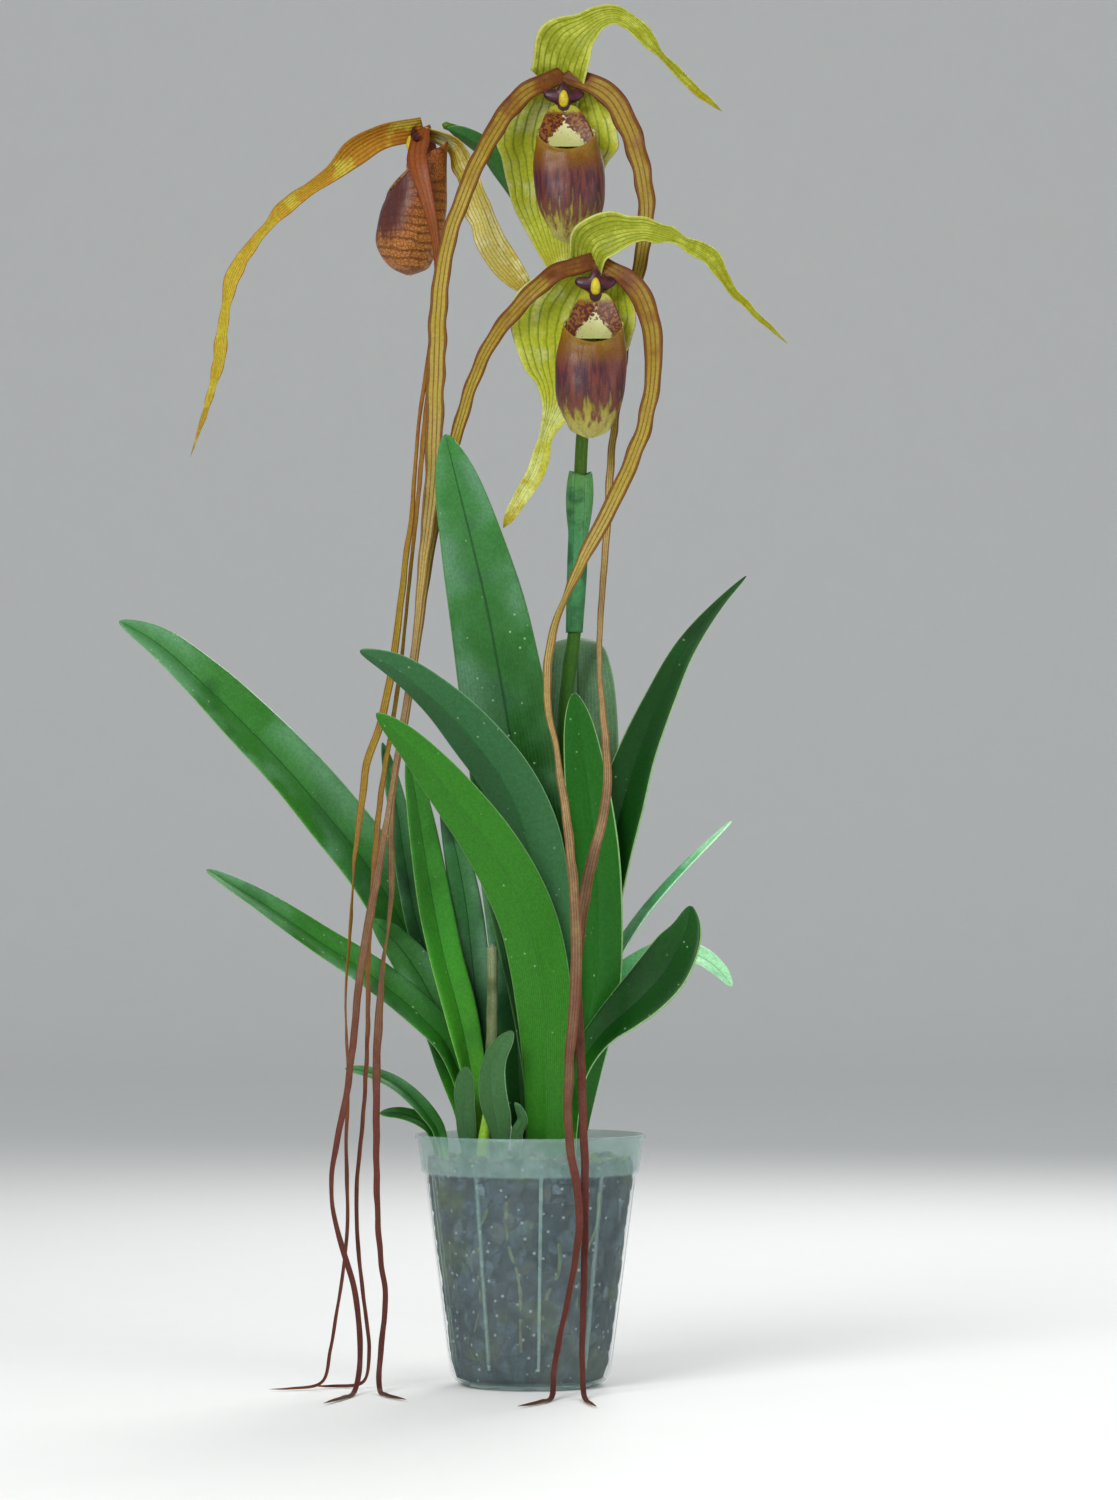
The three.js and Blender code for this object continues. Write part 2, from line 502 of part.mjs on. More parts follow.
const FLOWERS = {
  a: {
    face: [0, -1, 0],
    dorsal: {
      spine: [
        [14, -15, 693.5], [16, -17, 700.5], [21, -19, 708], [28, -20, 714], [37, -21, 719.5],
        [46.5, -21, 721],
        [54.5, -22, 716], [62.5, -22, 706.5], [69.5, -22, 699.5], [75.5, -23, 692.5], [82.5, -23, 685.5],
        [91, -24, 677.5],
        [101, -24, 669.5],
      ],
      width: [
        [0, 15], [0.07, 26], [0.14, 26], [0.26, 16], [0.4, 14], [0.55, 14], [0.64, 6], [0.78, 8], [0.9, 6],
        [1, 1],
      ],
      faces: [[0, -1, 0]],
      curl: [[0, 50], [0.2, 30], [1, 10]],
    },
    synsepal: {
      spine: [
        [17, -9, 677.5], [14, -8, 659.5], [13, -7, 641], [12, -6, 624], [13, -5, 607.5], [15, -4, 595.5],
        [17, -4, 583.5],
        [19, -4, 567],
      ],
      width: [
        [0, 20], [0.12, 56], [0.2, 62], [0.34, 54], [0.5, 47], [0.58, 36], [0.66, 24], [0.76, 17], [1, 2],
      ],
      faces: [[0, -1, 0]],
      curl: [[0, 30], [1, 20]],
    },
    petals: {
      left: {
        spine: [
          [12, -15, 690.5], [0, -19, 684.5], [-18.5, -26, 664.5], [-27.5, -32, 651], [-33.5, -36, 639],
          [-40.5, -41, 618],
          [-45.5, -43, 594.5],
          [-48, -42, 563], [-49, -38, 532], [-50, -34.5, 506], [-50.5, -34, 480.5], [-52.5, -34, 458],
          [-56, -34, 430], [-60, -34, 390],
          [-64, -34, 362], [-68, -34, 338], [-74, -34, 300], [-80, -34, 265], [-86, -34, 232],
          [-89, -34, 212],
          [-92, -35, 180], [-96, -36, 150], [-102, -37, 120], [-103, -38, 104], [-100, -39, 83],
          [-94, -40, 66],
          [-90, -41, 48], [-88, -42, 28], [-88, -44, 14], [-89, -49, 4.5], [-91, -60, 1.7], [-96, -80, 1.3],
          [-104, -106, 1.3],
        ],
        turn: [[0, 0], [0.75, 10], [0.8, 60], [0.86, 20], [0.9, 0], [1, 0]],
      },
      right: {
        spine: [
          [24, -15, 690.5], [33, -19, 686.5], [42.5, -23, 677.5], [50.5, -26, 663.5], [55.5, -28, 648],
          [59.5, -29, 634],
          [61, -30, 619],
          [60.5, -30, 603.5], [57.5, -30, 588.5], [54.5, -30, 571], [51.5, -30, 552.5], [48.5, -30, 532],
          [46, -30, 513.5],
          [44, -31, 501],
          [42, -33, 480.5], [41, -35, 460], [39.5, -37, 442], [38, -38, 420], [36.5, -39, 400],
          [36, -40, 380], [37, -41, 360],
          [39, -42, 342], [40, -43, 322], [39.5, -44, 304], [36, -45, 290], [32, -47, 275],
          [28.5, -49, 257], [26, -51, 240],
          [24, -53, 224], [24.5, -55, 205], [25.5, -57, 188], [26.5, -59, 170], [27, -60, 150],
          [28, -61, 130], [28.5, -62, 100],
          [28, -62, 60], [27, -63, 28], [27, -64, 14], [27.5, -69, 4.5], [28, -80, 1.7], [30, -98, 1.3],
          [34, -120, 1.3],
        ],
        turn: [[0, 0], [0.12, 15], [0.23, 55], [0.36, 0], [1, 0]],
      },
    },
    pouch: { top: [19, -27, 665.5], lip: 17, drop: 66, shift: 5, belly: 17 },
    column: [17.5, -20, 677.5],
  },
  b: {
    face: [0, -1, 0],
    dorsal: {
      spine: [
        [29, -46, 590], [32, -49, 596], [38, -51, 600], [46, -52, 601.5], [55, -53, 603], [65, -53, 602],
        [75, -54, 598.5], [84, -54, 594], [92, -54, 590], [98, -54, 583], [102, -54, 575], [110, -54, 566],
        [122, -55, 554], [134, -55, 543],
      ],
      width: [
        [0, 9], [0.06, 17], [0.13, 19], [0.22, 14], [0.34, 12], [0.44, 7], [0.52, 13], [0.62, 9], [0.74, 6],
        [0.88, 4], [1, 1],
      ],
      faces: [[0, -1, 0]],
      curl: [[0, 45], [0.2, 30], [1, 10]],
    },
    synsepal: {
      spine: [
        [33, -41, 577], [25, -39, 565], [21, -38, 550], [19, -37, 536], [18, -36, 522], [14, -36, 510],
        [9, -36, 500],
        [6.5, -36, 490], [3.5, -36, 479], [-3, -36, 468], [-9, -36, 458], [-14, -36, 449],
      ],
      width: [
        [0, 20], [0.1, 52], [0.2, 60], [0.29, 53], [0.38, 42], [0.46, 24], [0.54, 12], [0.62, 7.5],
        [0.72, 10],
        [0.82, 9], [0.93, 7], [1, 2],
      ],
      faces: [[0, -1, 0]],
      curl: [[0, 26], [0.5, 18], [1, 6]],
    },
    petals: {
      left: {
        spine: [
          [29, -47, 587], [22, -50, 584.5], [8, -52, 577], [-3, -52, 566], [-13, -50, 555], [-21, -47, 544],
          [-27, -43, 532],
          [-32, -39, 519], [-37, -34, 503], [-43, -29, 482], [-49, -27, 457], [-54, -26, 430],
          [-57, -26, 408], [-60, -26, 385],
          [-64, -26, 358], [-68, -26, 335], [-71.5, -26, 317], [-72.5, -26, 298], [-72.5, -26, 278],
          [-72.5, -26, 260],
          [-73, -26, 246], [-75.5, -26, 232], [-77.5, -27, 212], [-79, -28, 190], [-80, -28, 172],
          [-80, -29, 150], [-80, -30, 125],
          [-79.5, -31, 100], [-78, -32, 72], [-75, -33, 48], [-77, -34, 26], [-78, -36, 14],
          [-78, -41, 4.5], [-77, -51, 1.7], [-72, -68, 1.3], [-62, -88, 1.3],
        ],
        turn: [[0, 0], [0.5, 15], [0.58, 70], [0.66, 10], [0.84, 40], [0.9, 0], [1, 0]],
      },
      right: {
        spine: [
          [42, -47, 586], [49, -51, 581], [57, -54, 569], [62, -56, 556], [64, -57, 541], [63, -58, 520],
          [59, -59, 500], [51, -59, 478],
          [42, -59, 459], [34, -59, 443], [27, -59, 430], [21.5, -59, 417], [16, -59, 405],
          [12.5, -59, 393], [9.5, -59, 380],
          [9, -59, 365], [10, -59, 350], [13, -60, 338], [15, -60, 322], [18, -60, 306], [20, -61, 288],
          [22, -61, 270],
          [23, -62, 255], [24, -62, 238], [24, -63, 220], [23, -64, 200], [21, -65, 180], [20, -66, 160],
          [20, -67, 135],
          [23, -67, 115], [25.5, -67, 98], [25, -67, 82], [22, -67, 62], [18, -67, 42], [14.5, -67, 26],
          [12.5, -68, 14],
          [12, -73, 4.5], [11, -83, 1.7], [5, -100, 1.3], [-6, -120, 1.3],
        ],
        turn: [[0, 0], [0.22, 0], [0.3, 60], [0.36, 15], [0.7, 10], [0.86, 20], [0.92, 0], [1, 0]],
      },
    },
    pouch: { top: [33, -55, 561], lip: 17, drop: 66, shift: -4, belly: 17 },
    column: [34, -53, 574],
  },
  c: {
    face: [-0.97, -0.24, 0],
    dorsal: {
      spine: [
        [-64, -11, 662.5], [-72, -13, 660.5], [-82.5, -15, 656.5], [-93.5, -17, 649], [-103.5, -18, 639],
        [-113.5, -19, 631.5], [-124, -20, 624], [-134, -21, 615], [-142, -21, 604.5], [-150, -22, 594.5],
        [-156, -22, 583.5], [-159.5, -23, 570], [-161.5, -23, 555.5], [-163, -23, 543],
        [-165.5, -23, 529.5],
        [-169.5, -24, 515], [-178.5, -24, 487],
      ],
      width: [
        [0, 6], [0.05, 13], [0.12, 18], [0.2, 12], [0.26, 8], [0.34, 13], [0.42, 8], [0.56, 11], [0.64, 6],
        [0.74, 9], [0.86, 5], [1, 1],
      ],
      faces: [[0.1, -0.9, -0.5], [0, -1, 0]],
      curl: [[0, 40], [0.3, 20], [1, 10]],
    },
    synsepal: {
      spine: [
        [-42, -6, 659.5], [-37.5, -7, 651.5], [-32.5, -8, 640], [-29.5, -8, 627], [-24.5, -9, 614],
        [-20.5, -10, 602.5],
        [-13.5, -10, 591.5], [-5.5, -11, 581.5], [2, -11, 572],
      ],
      width: [[0, 12], [0.15, 28], [0.35, 26], [0.5, 16], [0.7, 14], [0.85, 12], [1, 2]],
      faces: [[-0.8, -0.5, -0.4], [-0.8, -0.6, 0], [-0.4, -0.9, 0], [-0.2, -1, 0]],
      curl: [[0, 26], [0.5, 14], [1, 8]],
    },
    petals: {
      front: {
        spine: [
          [-61, -19, 661.5], [-60.5, -25, 651.5], [-58, -30, 637], [-54, -33, 622], [-50.5, -34, 607],
          [-48.5, -33, 586.5], [-50, -29, 564],
          [-53.5, -26, 538], [-56.5, -24, 520], [-59, -22, 501.5], [-60.5, -21, 480.5], [-63, -20, 450],
          [-66, -20, 430], [-68, -20, 410],
          [-70, -20, 395], [-72, -20, 380], [-76, -20, 358], [-80, -20, 343], [-84, -20, 333],
          [-87, -20, 320], [-88, -20, 308],
          [-91, -20, 285], [-92.5, -20, 270], [-94, -20, 240], [-96, -21, 215], [-96.5, -22, 200],
          [-96, -22, 185],
          [-95, -23, 165], [-95.5, -23, 143], [-96, -23, 118], [-95, -24, 95], [-96, -24, 75],
          [-99, -25, 50], [-103, -25, 28], [-105, -26, 14], [-108, -27, 4.5], [-117, -29, 1.7],
          [-136, -35, 1.3],
        ],
        turn: [[0, 0], [0.14, 5], [0.26, 40], [0.38, 5], [0.48, 0], [0.62, 48], [0.76, 5], [1, 0]],
        lie: LIE_LEFT,
      },
      back: {
        spine: [
          [-55, 4, 662.5], [-53, 10, 653.5], [-50, 14, 635], [-49, 15, 610], [-49, 13, 584.5],
          [-51, 9, 558.5],
          [-53.5, 3, 530.5], [-56.5, -3, 501.5],
          [-59, -8, 470.5], [-62, -12, 440], [-65, -13, 410], [-68, -13, 380], [-73, -13, 345],
          [-78, -13, 315], [-81, -13, 285],
          [-83, -13, 255], [-85, -13, 225], [-85, -14, 195], [-86, -15, 165], [-88, -15, 135],
          [-90.5, -16, 110], [-90.5, -17, 82], [-88, -18, 55], [-85, -18, 30], [-84, -19, 14],
          [-86, -19, 4.5],
          [-96, -19, 1.7], [-116, -17, 1.3],
        ],
        turn: [[0, 0], [1, 0]],
        lie: LIE_LEFT,
      },
    },
    pouch: { top: [-52, -8, 658.5], lip: 30, drop: 72, shift: 0, belly: 30 },
    column: [-61, -10, 655.5],
  },
};

function makeSepal({ spine, width, faces, curl }) {
  const widthAt = (t) => through(width, t);
  return blade({ spine, faces, curl, sections: 15, width: widthAt, thickness: SEPAL_THICKNESS });
}

function makePetal({ spine, turn, lie = LIE }) {
  return blade({
    spine,
    turn,
    faces: hangThen(lie),
    curl: 16,
    sections: 38,
    across: 2,
    thickness: PETAL_THICKNESS,
    width: (t) => through(RIBBON, t),
  });
}

// Three directions of a flower: across, towards its face, and up.
function flowerFrame(face) {
  const front = vec(face).normalize();
  const up = new THREE.Vector3(0, 0, 1);
  const across = new THREE.Vector3().crossVectors(up, front);
  return { front, up, across };
}

// The pouch: a slipper-shaped cup. Its lip is low in front and climbs to the column behind.
// lip and drop are the depths of the lip and of the toe below the top; belly is its reach forward.
function makePouch({ top, lip, drop, shift, belly }, face) {
  const { front, up, across } = flowerFrame(face);
  const wall = 1.1;
  // Share of the way up to the lip, half width, reach forward (share of belly), reach back, rise at the back.
  const shape = [
    [0.04, 7, 0.62, -5, 0],
    [0.16, 12.5, 0.86, 0, 0],
    [0.36, 16.8, 1, 4, 0],
    [0.6, 18.4, 0.98, 6.5, 2],
    [0.82, 18.6, 0.9, 7.5, 6],
    [1, 17, 0.78, 7.5, lip - 3],
  ];
  const ring = ([share, half, reach, back, rise], inset) =>
    Array.from({ length: 12 }, (_, j) => {
      const a = (2 * Math.PI * j) / 12;
      const forward = Math.cos(a);
      const fore = belly * reach - inset;
      const aft = -back + inset;
      const middle = (fore + aft) / 2;
      const depth = -drop + (drop - lip) * share + (rise * (1 - forward)) / 2;
      const pinch = 1 - 0.45 * smooth(0, 1, (rise / lip) * ((1 - forward) / 2));
      const sway = shift * (1 - Math.exp(-2.4 * (1 - share))) * 0.6;
      return vec(top)
        .addScaledVector(front, middle + ((fore - aft) / 2) * forward)
        .addScaledVector(across, (half - inset) * Math.sin(a) * pinch + sway)
        .addScaledVector(up, depth + inset * (1 - share));
    });
  const pole = (rise, offset) =>
    vec(top)
      .addScaledVector(front, belly * 0.33 + 2.5)
      .addScaledVector(across, shift * 0.55)
      .addScaledVector(up, -drop + rise + offset);
  const outer = shape.map((row) => ring(row, 0));
  const inner = shape.map((row) => ring(row, wall)).reverse();
  return skin(pole(-1.4, 0), [...outer, ...inner], pole(0.6, wall));
}

// The column: a small shield with two arms and a raised knob, in front of where the flower's parts meet.
function makeColumn(middle, face) {
  const { front, up, across } = flowerFrame(face);
  const shield = [
    [0, 7.5], [-4, 3.4], [-10.5, 2.2], [-10, -1], [-4.5, -4.5], [0, -9], [4.5, -4.5], [10, -1], [10.5, 2.2],
    [4, 3.4],
  ];
  const layer = (size, forward) =>
    shield.map(([u, w]) =>
      vec(middle)
        .addScaledVector(across, u * size)
        .addScaledVector(up, w * size)
        .addScaledVector(front, forward),
    );
  const tip = (forward) => vec(middle).addScaledVector(front, forward);
  const layers = [layer(0.55, -2.4), layer(0.92, -0.6), layer(1, 0.6), layer(0.7, 1.8), layer(0.3, 3)];
  return skin(tip(-2.6), layers, tip(3.6));
}

// ---------- Build ----------
addPiece("pot", makePot(), COLOUR.pot, 0.25);
addPiece("potting_mix", makeMix(), COLOUR.mix, 0.95);
const ROOTS = [
  [-104, -94, 100, 20], [-70, -84, 78, 26], [-118, -130, 96, 30], [-45, -60, 104, 40], [150, 120, 100, 24],
  [60, 80, 98, 30],
];
ROOTS.forEach((run, k) => addPiece(`root_${k + 1}`, makeRoot(...run), COLOUR.root, 0.7));
LEAVES.forEach((leaf) => addPiece(leaf.name, makeLeaf(leaf), COLOUR.leaf, 0.35));
addPiece("flower_stem", stalk({ spine: STEM, radius: (t) => 3.9 - 0.7 * t, sections: 17 }), COLOUR.stem);
addPiece("stem_sheath", makeSheath(), COLOUR.bract);
addPiece("shoot", stalk({ spine: SHOOT, radius: (t) => 4 * Math.sqrt(1.02 - t), sections: 6 }), COLOUR.shoot);
addPiece("old_stalk", stalk({ spine: OLD_STALK, radius: () => 2.9, sections: 5 }), COLOUR.oldStalk, 0.7);
for (const [key, flower] of Object.entries(FLOWERS)) {
  const { spine, faces, full } = BRACTS[key];
  const bract = { spine, faces, fold: [[0, 34], [1, 24]], thickness: 0.9, sections: 8 };
  const ovary = stalk({ spine: OVARIES[key], radius: (t) => 2 + 1.1 * Math.sin(Math.PI * t) });
  addPiece(`ovary_${key}`, ovary, COLOUR.stem);
  addPiece(`bract_${key}`, blade({ ...bract, width: strapWidth(full, 0.6, 0.4) }), COLOUR.bract);
  addPiece(`dorsal_sepal_${key}`, makeSepal(flower.dorsal), COLOUR.dorsal);
  addPiece(`synsepal_${key}`, makeSepal(flower.synsepal), COLOUR.synsepal);
  for (const [side, petal] of Object.entries(flower.petals)) {
    addPiece(`petal_${key}_${side}`, makePetal(petal), COLOUR.petal);
  }
  addPiece(`pouch_${key}`, makePouch(flower.pouch, flower.face), COLOUR.pouch, 0.4);
  addPiece(`column_${key}`, makeColumn(flower.column, flower.face), COLOUR.column);
}

export default plant;
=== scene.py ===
"""A slipper orchid in flower, in a clear nursery pot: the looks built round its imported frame.

Metres, +Z up, the front towards -Y. Each surface is read from its frame node ring by ring, then drawn finely.
"""
from functools import partial

import bpy
import numpy as np
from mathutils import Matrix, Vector


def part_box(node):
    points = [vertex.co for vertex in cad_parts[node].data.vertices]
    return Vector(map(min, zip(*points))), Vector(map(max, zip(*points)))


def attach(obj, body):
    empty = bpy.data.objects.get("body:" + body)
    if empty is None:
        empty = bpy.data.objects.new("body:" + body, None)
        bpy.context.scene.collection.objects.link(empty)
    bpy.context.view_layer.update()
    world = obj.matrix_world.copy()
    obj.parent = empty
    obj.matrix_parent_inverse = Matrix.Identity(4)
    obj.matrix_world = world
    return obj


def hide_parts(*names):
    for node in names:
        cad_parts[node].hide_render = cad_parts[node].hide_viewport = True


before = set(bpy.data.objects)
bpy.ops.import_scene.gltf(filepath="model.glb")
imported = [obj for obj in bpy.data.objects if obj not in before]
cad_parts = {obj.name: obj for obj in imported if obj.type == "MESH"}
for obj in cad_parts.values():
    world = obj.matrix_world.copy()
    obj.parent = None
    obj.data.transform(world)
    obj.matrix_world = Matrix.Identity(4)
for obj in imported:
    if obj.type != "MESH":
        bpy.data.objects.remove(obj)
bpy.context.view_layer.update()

MM = 0.001
MERGE = 0.005 * MM       # a node's corners closer than this are one
UP = np.array([0.0, 0.0, 1.0])
FRONT = np.array([0.0, -1.0, 0.0])
LEFT_FACING = np.array([-0.97, -0.24, 0.0])


# ---------- Reading the frame ----------
def skin_of(node):
    """The node's corners merged where they meet: the points, and its triangles as rows of three."""
    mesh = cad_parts[node].data
    points = np.empty(len(mesh.vertices) * 3)
    mesh.vertices.foreach_get("co", points)
    points = points.reshape(-1, 3)
    mesh.calc_loop_triangles()
    tris = np.empty(len(mesh.loop_triangles) * 3, int)
    mesh.loop_triangles.foreach_get("vertices", tris)
    cell = np.round(points / MERGE).astype(np.int64)
    _, first, merged = np.unique(cell, axis=0, return_index=True, return_inverse=True)
    return points[first], merged.ravel()[tris].reshape(-1, 3)


def in_turn(members, link):
    """The members of one ring in the order in which they follow each other, or None where they don't close."""
    order = [min(members)]
    while len(order) < len(members):
        ahead = [k for k in link[order[-1]] if k in members and k not in order]
        if not ahead:
            return None
        order.append(min(ahead))
    return order


def matched(points, before, order):
    """The order turned or mirrored so that each point lies beyond its fellow in the ring before."""
    there = points[before] - points[before].mean(0)
    choices = [way[k:] + way[:k] for way in (order, order[::-1]) for k in range(len(order))]
    return max(choices, key=lambda turn: np.sum((points[turn] - points[turn].mean(0)) * there))


def rings_of(node, size, from_base):
    """A lofted node's rings of size points from its base to its tip, with its two pole points.
    from_base(point) is smallest at the base. Each ring is the unseen neighbours of the ring before it."""
    points, tris = skin_of(node)
    link = [set() for _ in points]
    for a, b, c in tris:
        link[a] |= {b, c}
        link[b] |= {a, c}
        link[c] |= {a, b}
    poles = [k for k, linked in enumerate(link) if len(linked) == size]
    start = min(poles, key=lambda k: from_base(points[k]))
    rings, seen, members = [], {start}, set(link[start])
    while len(members) == size:
        order = in_turn(members, link)
        if order is None:
            break
        rings.append(matched(points, rings[-1], order) if rings else order)
        seen |= members
        members = {k for j in order for k in link[j]} - seen
    left = sorted(set(range(len(points))) - seen)
    end = points[left].mean(0)
    rings = points[np.array(rings)]
    if from_base(rings[-1].mean(0)) < from_base(rings[0].mean(0)):
        return end, rings[::-1], points[start]
    return points[start], rings, end


def centre_of(node):
    """The middle of a node's box."""
    low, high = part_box(node)
    return (np.array(low) + np.array(high)) / 2


def lowest(point):
    """How high a point is."""
    return point[2]


def near(node):
    """How far a point is from the middle of another node."""
    middle = centre_of(node)
    return lambda point: float(np.linalg.norm(point - middle))


# ---------- Surfaces ----------
def unit(vectors):
    """Vectors over their own lengths."""
    return vectors / np.maximum(np.linalg.norm(vectors, axis=-1, keepdims=True), 1e-12)


def flow(knots, values, at):
    """Values carried smoothly from knot to knot: each span is a cubic, and its slope at a knot is the mean of
    the slopes on both sides, the nearer side counting more."""
    span = np.diff(knots)[:, None]
    slope = np.diff(values, axis=0) / span
    tangent = np.empty_like(values)
    tangent[1:-1] = (slope[:-1] * span[1:] + slope[1:] * span[:-1]) / (span[:-1] + span[1:])
    tangent[0], tangent[-1] = slope[0], slope[-1]
    k = np.clip(np.searchsorted(knots, at, side="right") - 1, 0, len(knots) - 2)
    h = span[k]
    f = (at - knots[k])[:, None] / h
    here = (2 * f**3 - 3 * f**2 + 1) * values[k] + (f**3 - 2 * f**2 + f) * h * tangent[k]
    beyond = (3 * f**2 - 2 * f**3) * values[k + 1] + (f**3 - f**2) * h * tangent[k + 1]
    return here + beyond


def full_turn(count):
    """Evenly spaced angles once round."""
    return np.linspace(0, 2 * np.pi, count, endpoint=False)


def turned(radius, angle, height):
    """Points round the upright axis: the angle's cosine and sine times the radius, and the height."""
    return np.stack(np.broadcast_arrays(radius * np.cos(angle), radius * np.sin(angle), height), -1)


def marks(shape, *values):
    """Three values at every point of a grid, as the rows of the grow attribute."""
    return np.stack([np.broadcast_to(value, shape) for value in values], -1).reshape(-1, 3)


def lengthwise(points):
    """Each point's distance along the run, from 0 at the first to 1 at the last, and the whole length."""
    run = np.concatenate([[0], np.cumsum(np.linalg.norm(np.diff(points, axis=0), axis=1))])
    return run / run[-1], run[-1]


def make(name, points, faces, material, stands_for=(), grow=None):
    """A mesh object that rides on the root, with faces turned outwards and the given point attribute."""
    mesh = bpy.data.meshes.new(name)
    solid = [f for f in faces if len(f)]
    fans = np.concatenate([f[:, [0, k, k + 1]] for f in solid for k in range(1, f.shape[1] - 1)])
    a, b, c = (points[fans[:, k]] for k in range(3))
    if np.sum(np.cross(a, b) * c) < 0:
        solid = [f[:, ::-1] for f in solid]
    mesh.from_pydata(points.tolist(), [], [row for f in solid for row in f.tolist()])
    mesh.polygons.foreach_set("use_smooth", np.ones(len(mesh.polygons), bool))
    if grow is not None:
        layer = mesh.attributes.new("grow", "FLOAT_VECTOR", "POINT")
        layer.data.foreach_set("vector", np.ascontiguousarray(grow, np.float32).ravel())
    mesh.materials.append(material)
    mesh.update()
    piece = bpy.data.objects.new(name, mesh)
    bpy.context.scene.collection.objects.link(piece)
    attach(piece, "root")
    if stands_for:
        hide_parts(*stands_for)
    return piece


def loft(rings, start, end):
    """Points and faces of a closed skin: rings joined in order, with a fan to a pole at each end."""
    count, size = rings.shape[:2]
    j = np.arange(size)
    after = (j + 1) % size
    k = np.arange(count - 1)[:, None] * size
    quads = np.stack([k + j, k + after, k + size + after, k + size + j], -1).reshape(-1, 4)
    last = (count - 1) * size
    first_fan = np.stack([np.full(size, count * size), after, j], -1)
    last_fan = np.stack([np.full(size, count * size + 1), last + j, last + after], -1)
    points = np.concatenate([rings.reshape(-1, 3), start[None], end[None]])
    return points, [quads, np.concatenate([first_fan, last_fan])]


def blade_run(node, size, from_base):
    """What a blade's rings say: its middle line to the tip, the chord from the middle of the section to one
    edge, and how far both edges stand in front of the middle line."""
    _, rings, tip = rings_of(node, size, from_base)
    half = size // 2
    reach = np.linalg.norm(rings[:, :half] - rings[:, half:], axis=2)
    widest = np.argmax(reach.max(1))
    rings = np.roll(rings, -int(np.argmax(reach[widest])), axis=1)
    upper, lower = rings[:, size // 4], rings[:, size // 4 + half]
    middle = (upper + lower) / 2
    chord = (rings[:, half] - rings[:, 0]) / 2
    rise = (rings[:, half] + rings[:, 0]) / 2 - middle
    out = upper - lower
    if np.sum(rise * out) < 0:
        out = -out
    along = np.gradient(middle, axis=0)
    if np.sum(np.cross(along, out) * chord) < 0:
        chord = -chord
    return np.concatenate([middle, tip[None]]), chord, rise


def drawn(run, u, t, tip_power, ridge):
    """The blade's middle surface on a grid of t along by u across, and its half width at each t.
    A point is the middle line plus u chords plus the rise times a valley that is straight sided (ridge near
    0) or round (ridge near 1). The half width runs to nothing at the tip as a root of the distance left."""
    middle, chord, rise = run
    knots, length = lengthwise(middle)
    width = np.linalg.norm(chord, axis=1, keepdims=True)
    again = lambda rows: np.concatenate([rows, rows[-1:]])
    powered = np.concatenate([width**tip_power, [[0.0]]])
    half = np.maximum(flow(knots, powered, t), 0) ** (1 / tip_power)
    across = unit(flow(knots, again(chord / width), t))
    lift = flow(knots, again(rise / width), t)
    line = flow(knots, middle, t)
    valley = (np.sqrt(u**2 + ridge**2) - ridge) / (np.sqrt(1 + ridge**2) - ridge)
    grid = line[:, None] + (half * across)[:, None] * u[None, :, None]
    grid = grid + (half * lift)[:, None] * valley[None, :, None]
    return grid, half[:, 0], length


def faces_out(grid):
    """Unit directions out of the upper face: across crossed with along."""
    return unit(np.cross(np.gradient(grid, axis=1), np.gradient(grid, axis=0)))


def walled(grid, above, below, u, t, tip):
    """A closed skin round a middle surface: over the upper face and back under it, meeting at both edges."""
    out = faces_out(grid)
    over = grid + out * above[..., None]
    under = grid - out * below[..., None]
    rings = np.concatenate([over, under[:, -2:0:-1]], axis=1)
    points, faces = loft(rings, rings[0].mean(0), tip)
    side = np.concatenate([np.ones(len(u)), np.zeros(len(u) - 2)])
    side[[0, len(u) - 1]] = 0.5
    around = np.concatenate([u, u[-2:0:-1]])
    grow = marks(rings.shape[:2], around, t[:, None], side)
    return points, faces, np.concatenate([grow, [[0, 0, 0.5], [0, 1, 0.5]]])


def stations(count, easing=1.25):
    """Shares of a length from 0 to just short of 1, closer together towards the tip."""
    x = np.linspace(0, 1, count + 1)[:-1]
    return 1 - (1 - x) ** easing


def spread(count):
    """Shares across a width from -1 to 1, closer together at the edges."""
    x = np.linspace(-1, 1, count)
    return 0.6 * x + 0.4 * np.sin(x * np.pi / 2)


def chance(name):
    """A seeded source of random numbers for one piece."""
    return np.random.default_rng(sum(ord(letter) * (k + 3) for k, letter in enumerate(name)))


def waves(t, turns, rng, count=3):
    """A smooth wandering value: a few sines of near but unequal pitch, from -1 to 1."""
    total = np.zeros_like(t)
    for k in range(count):
        total = total + np.sin(2 * np.pi * (t * turns * rng.uniform(0.6, 1.5) + rng.uniform())) / count
    return total


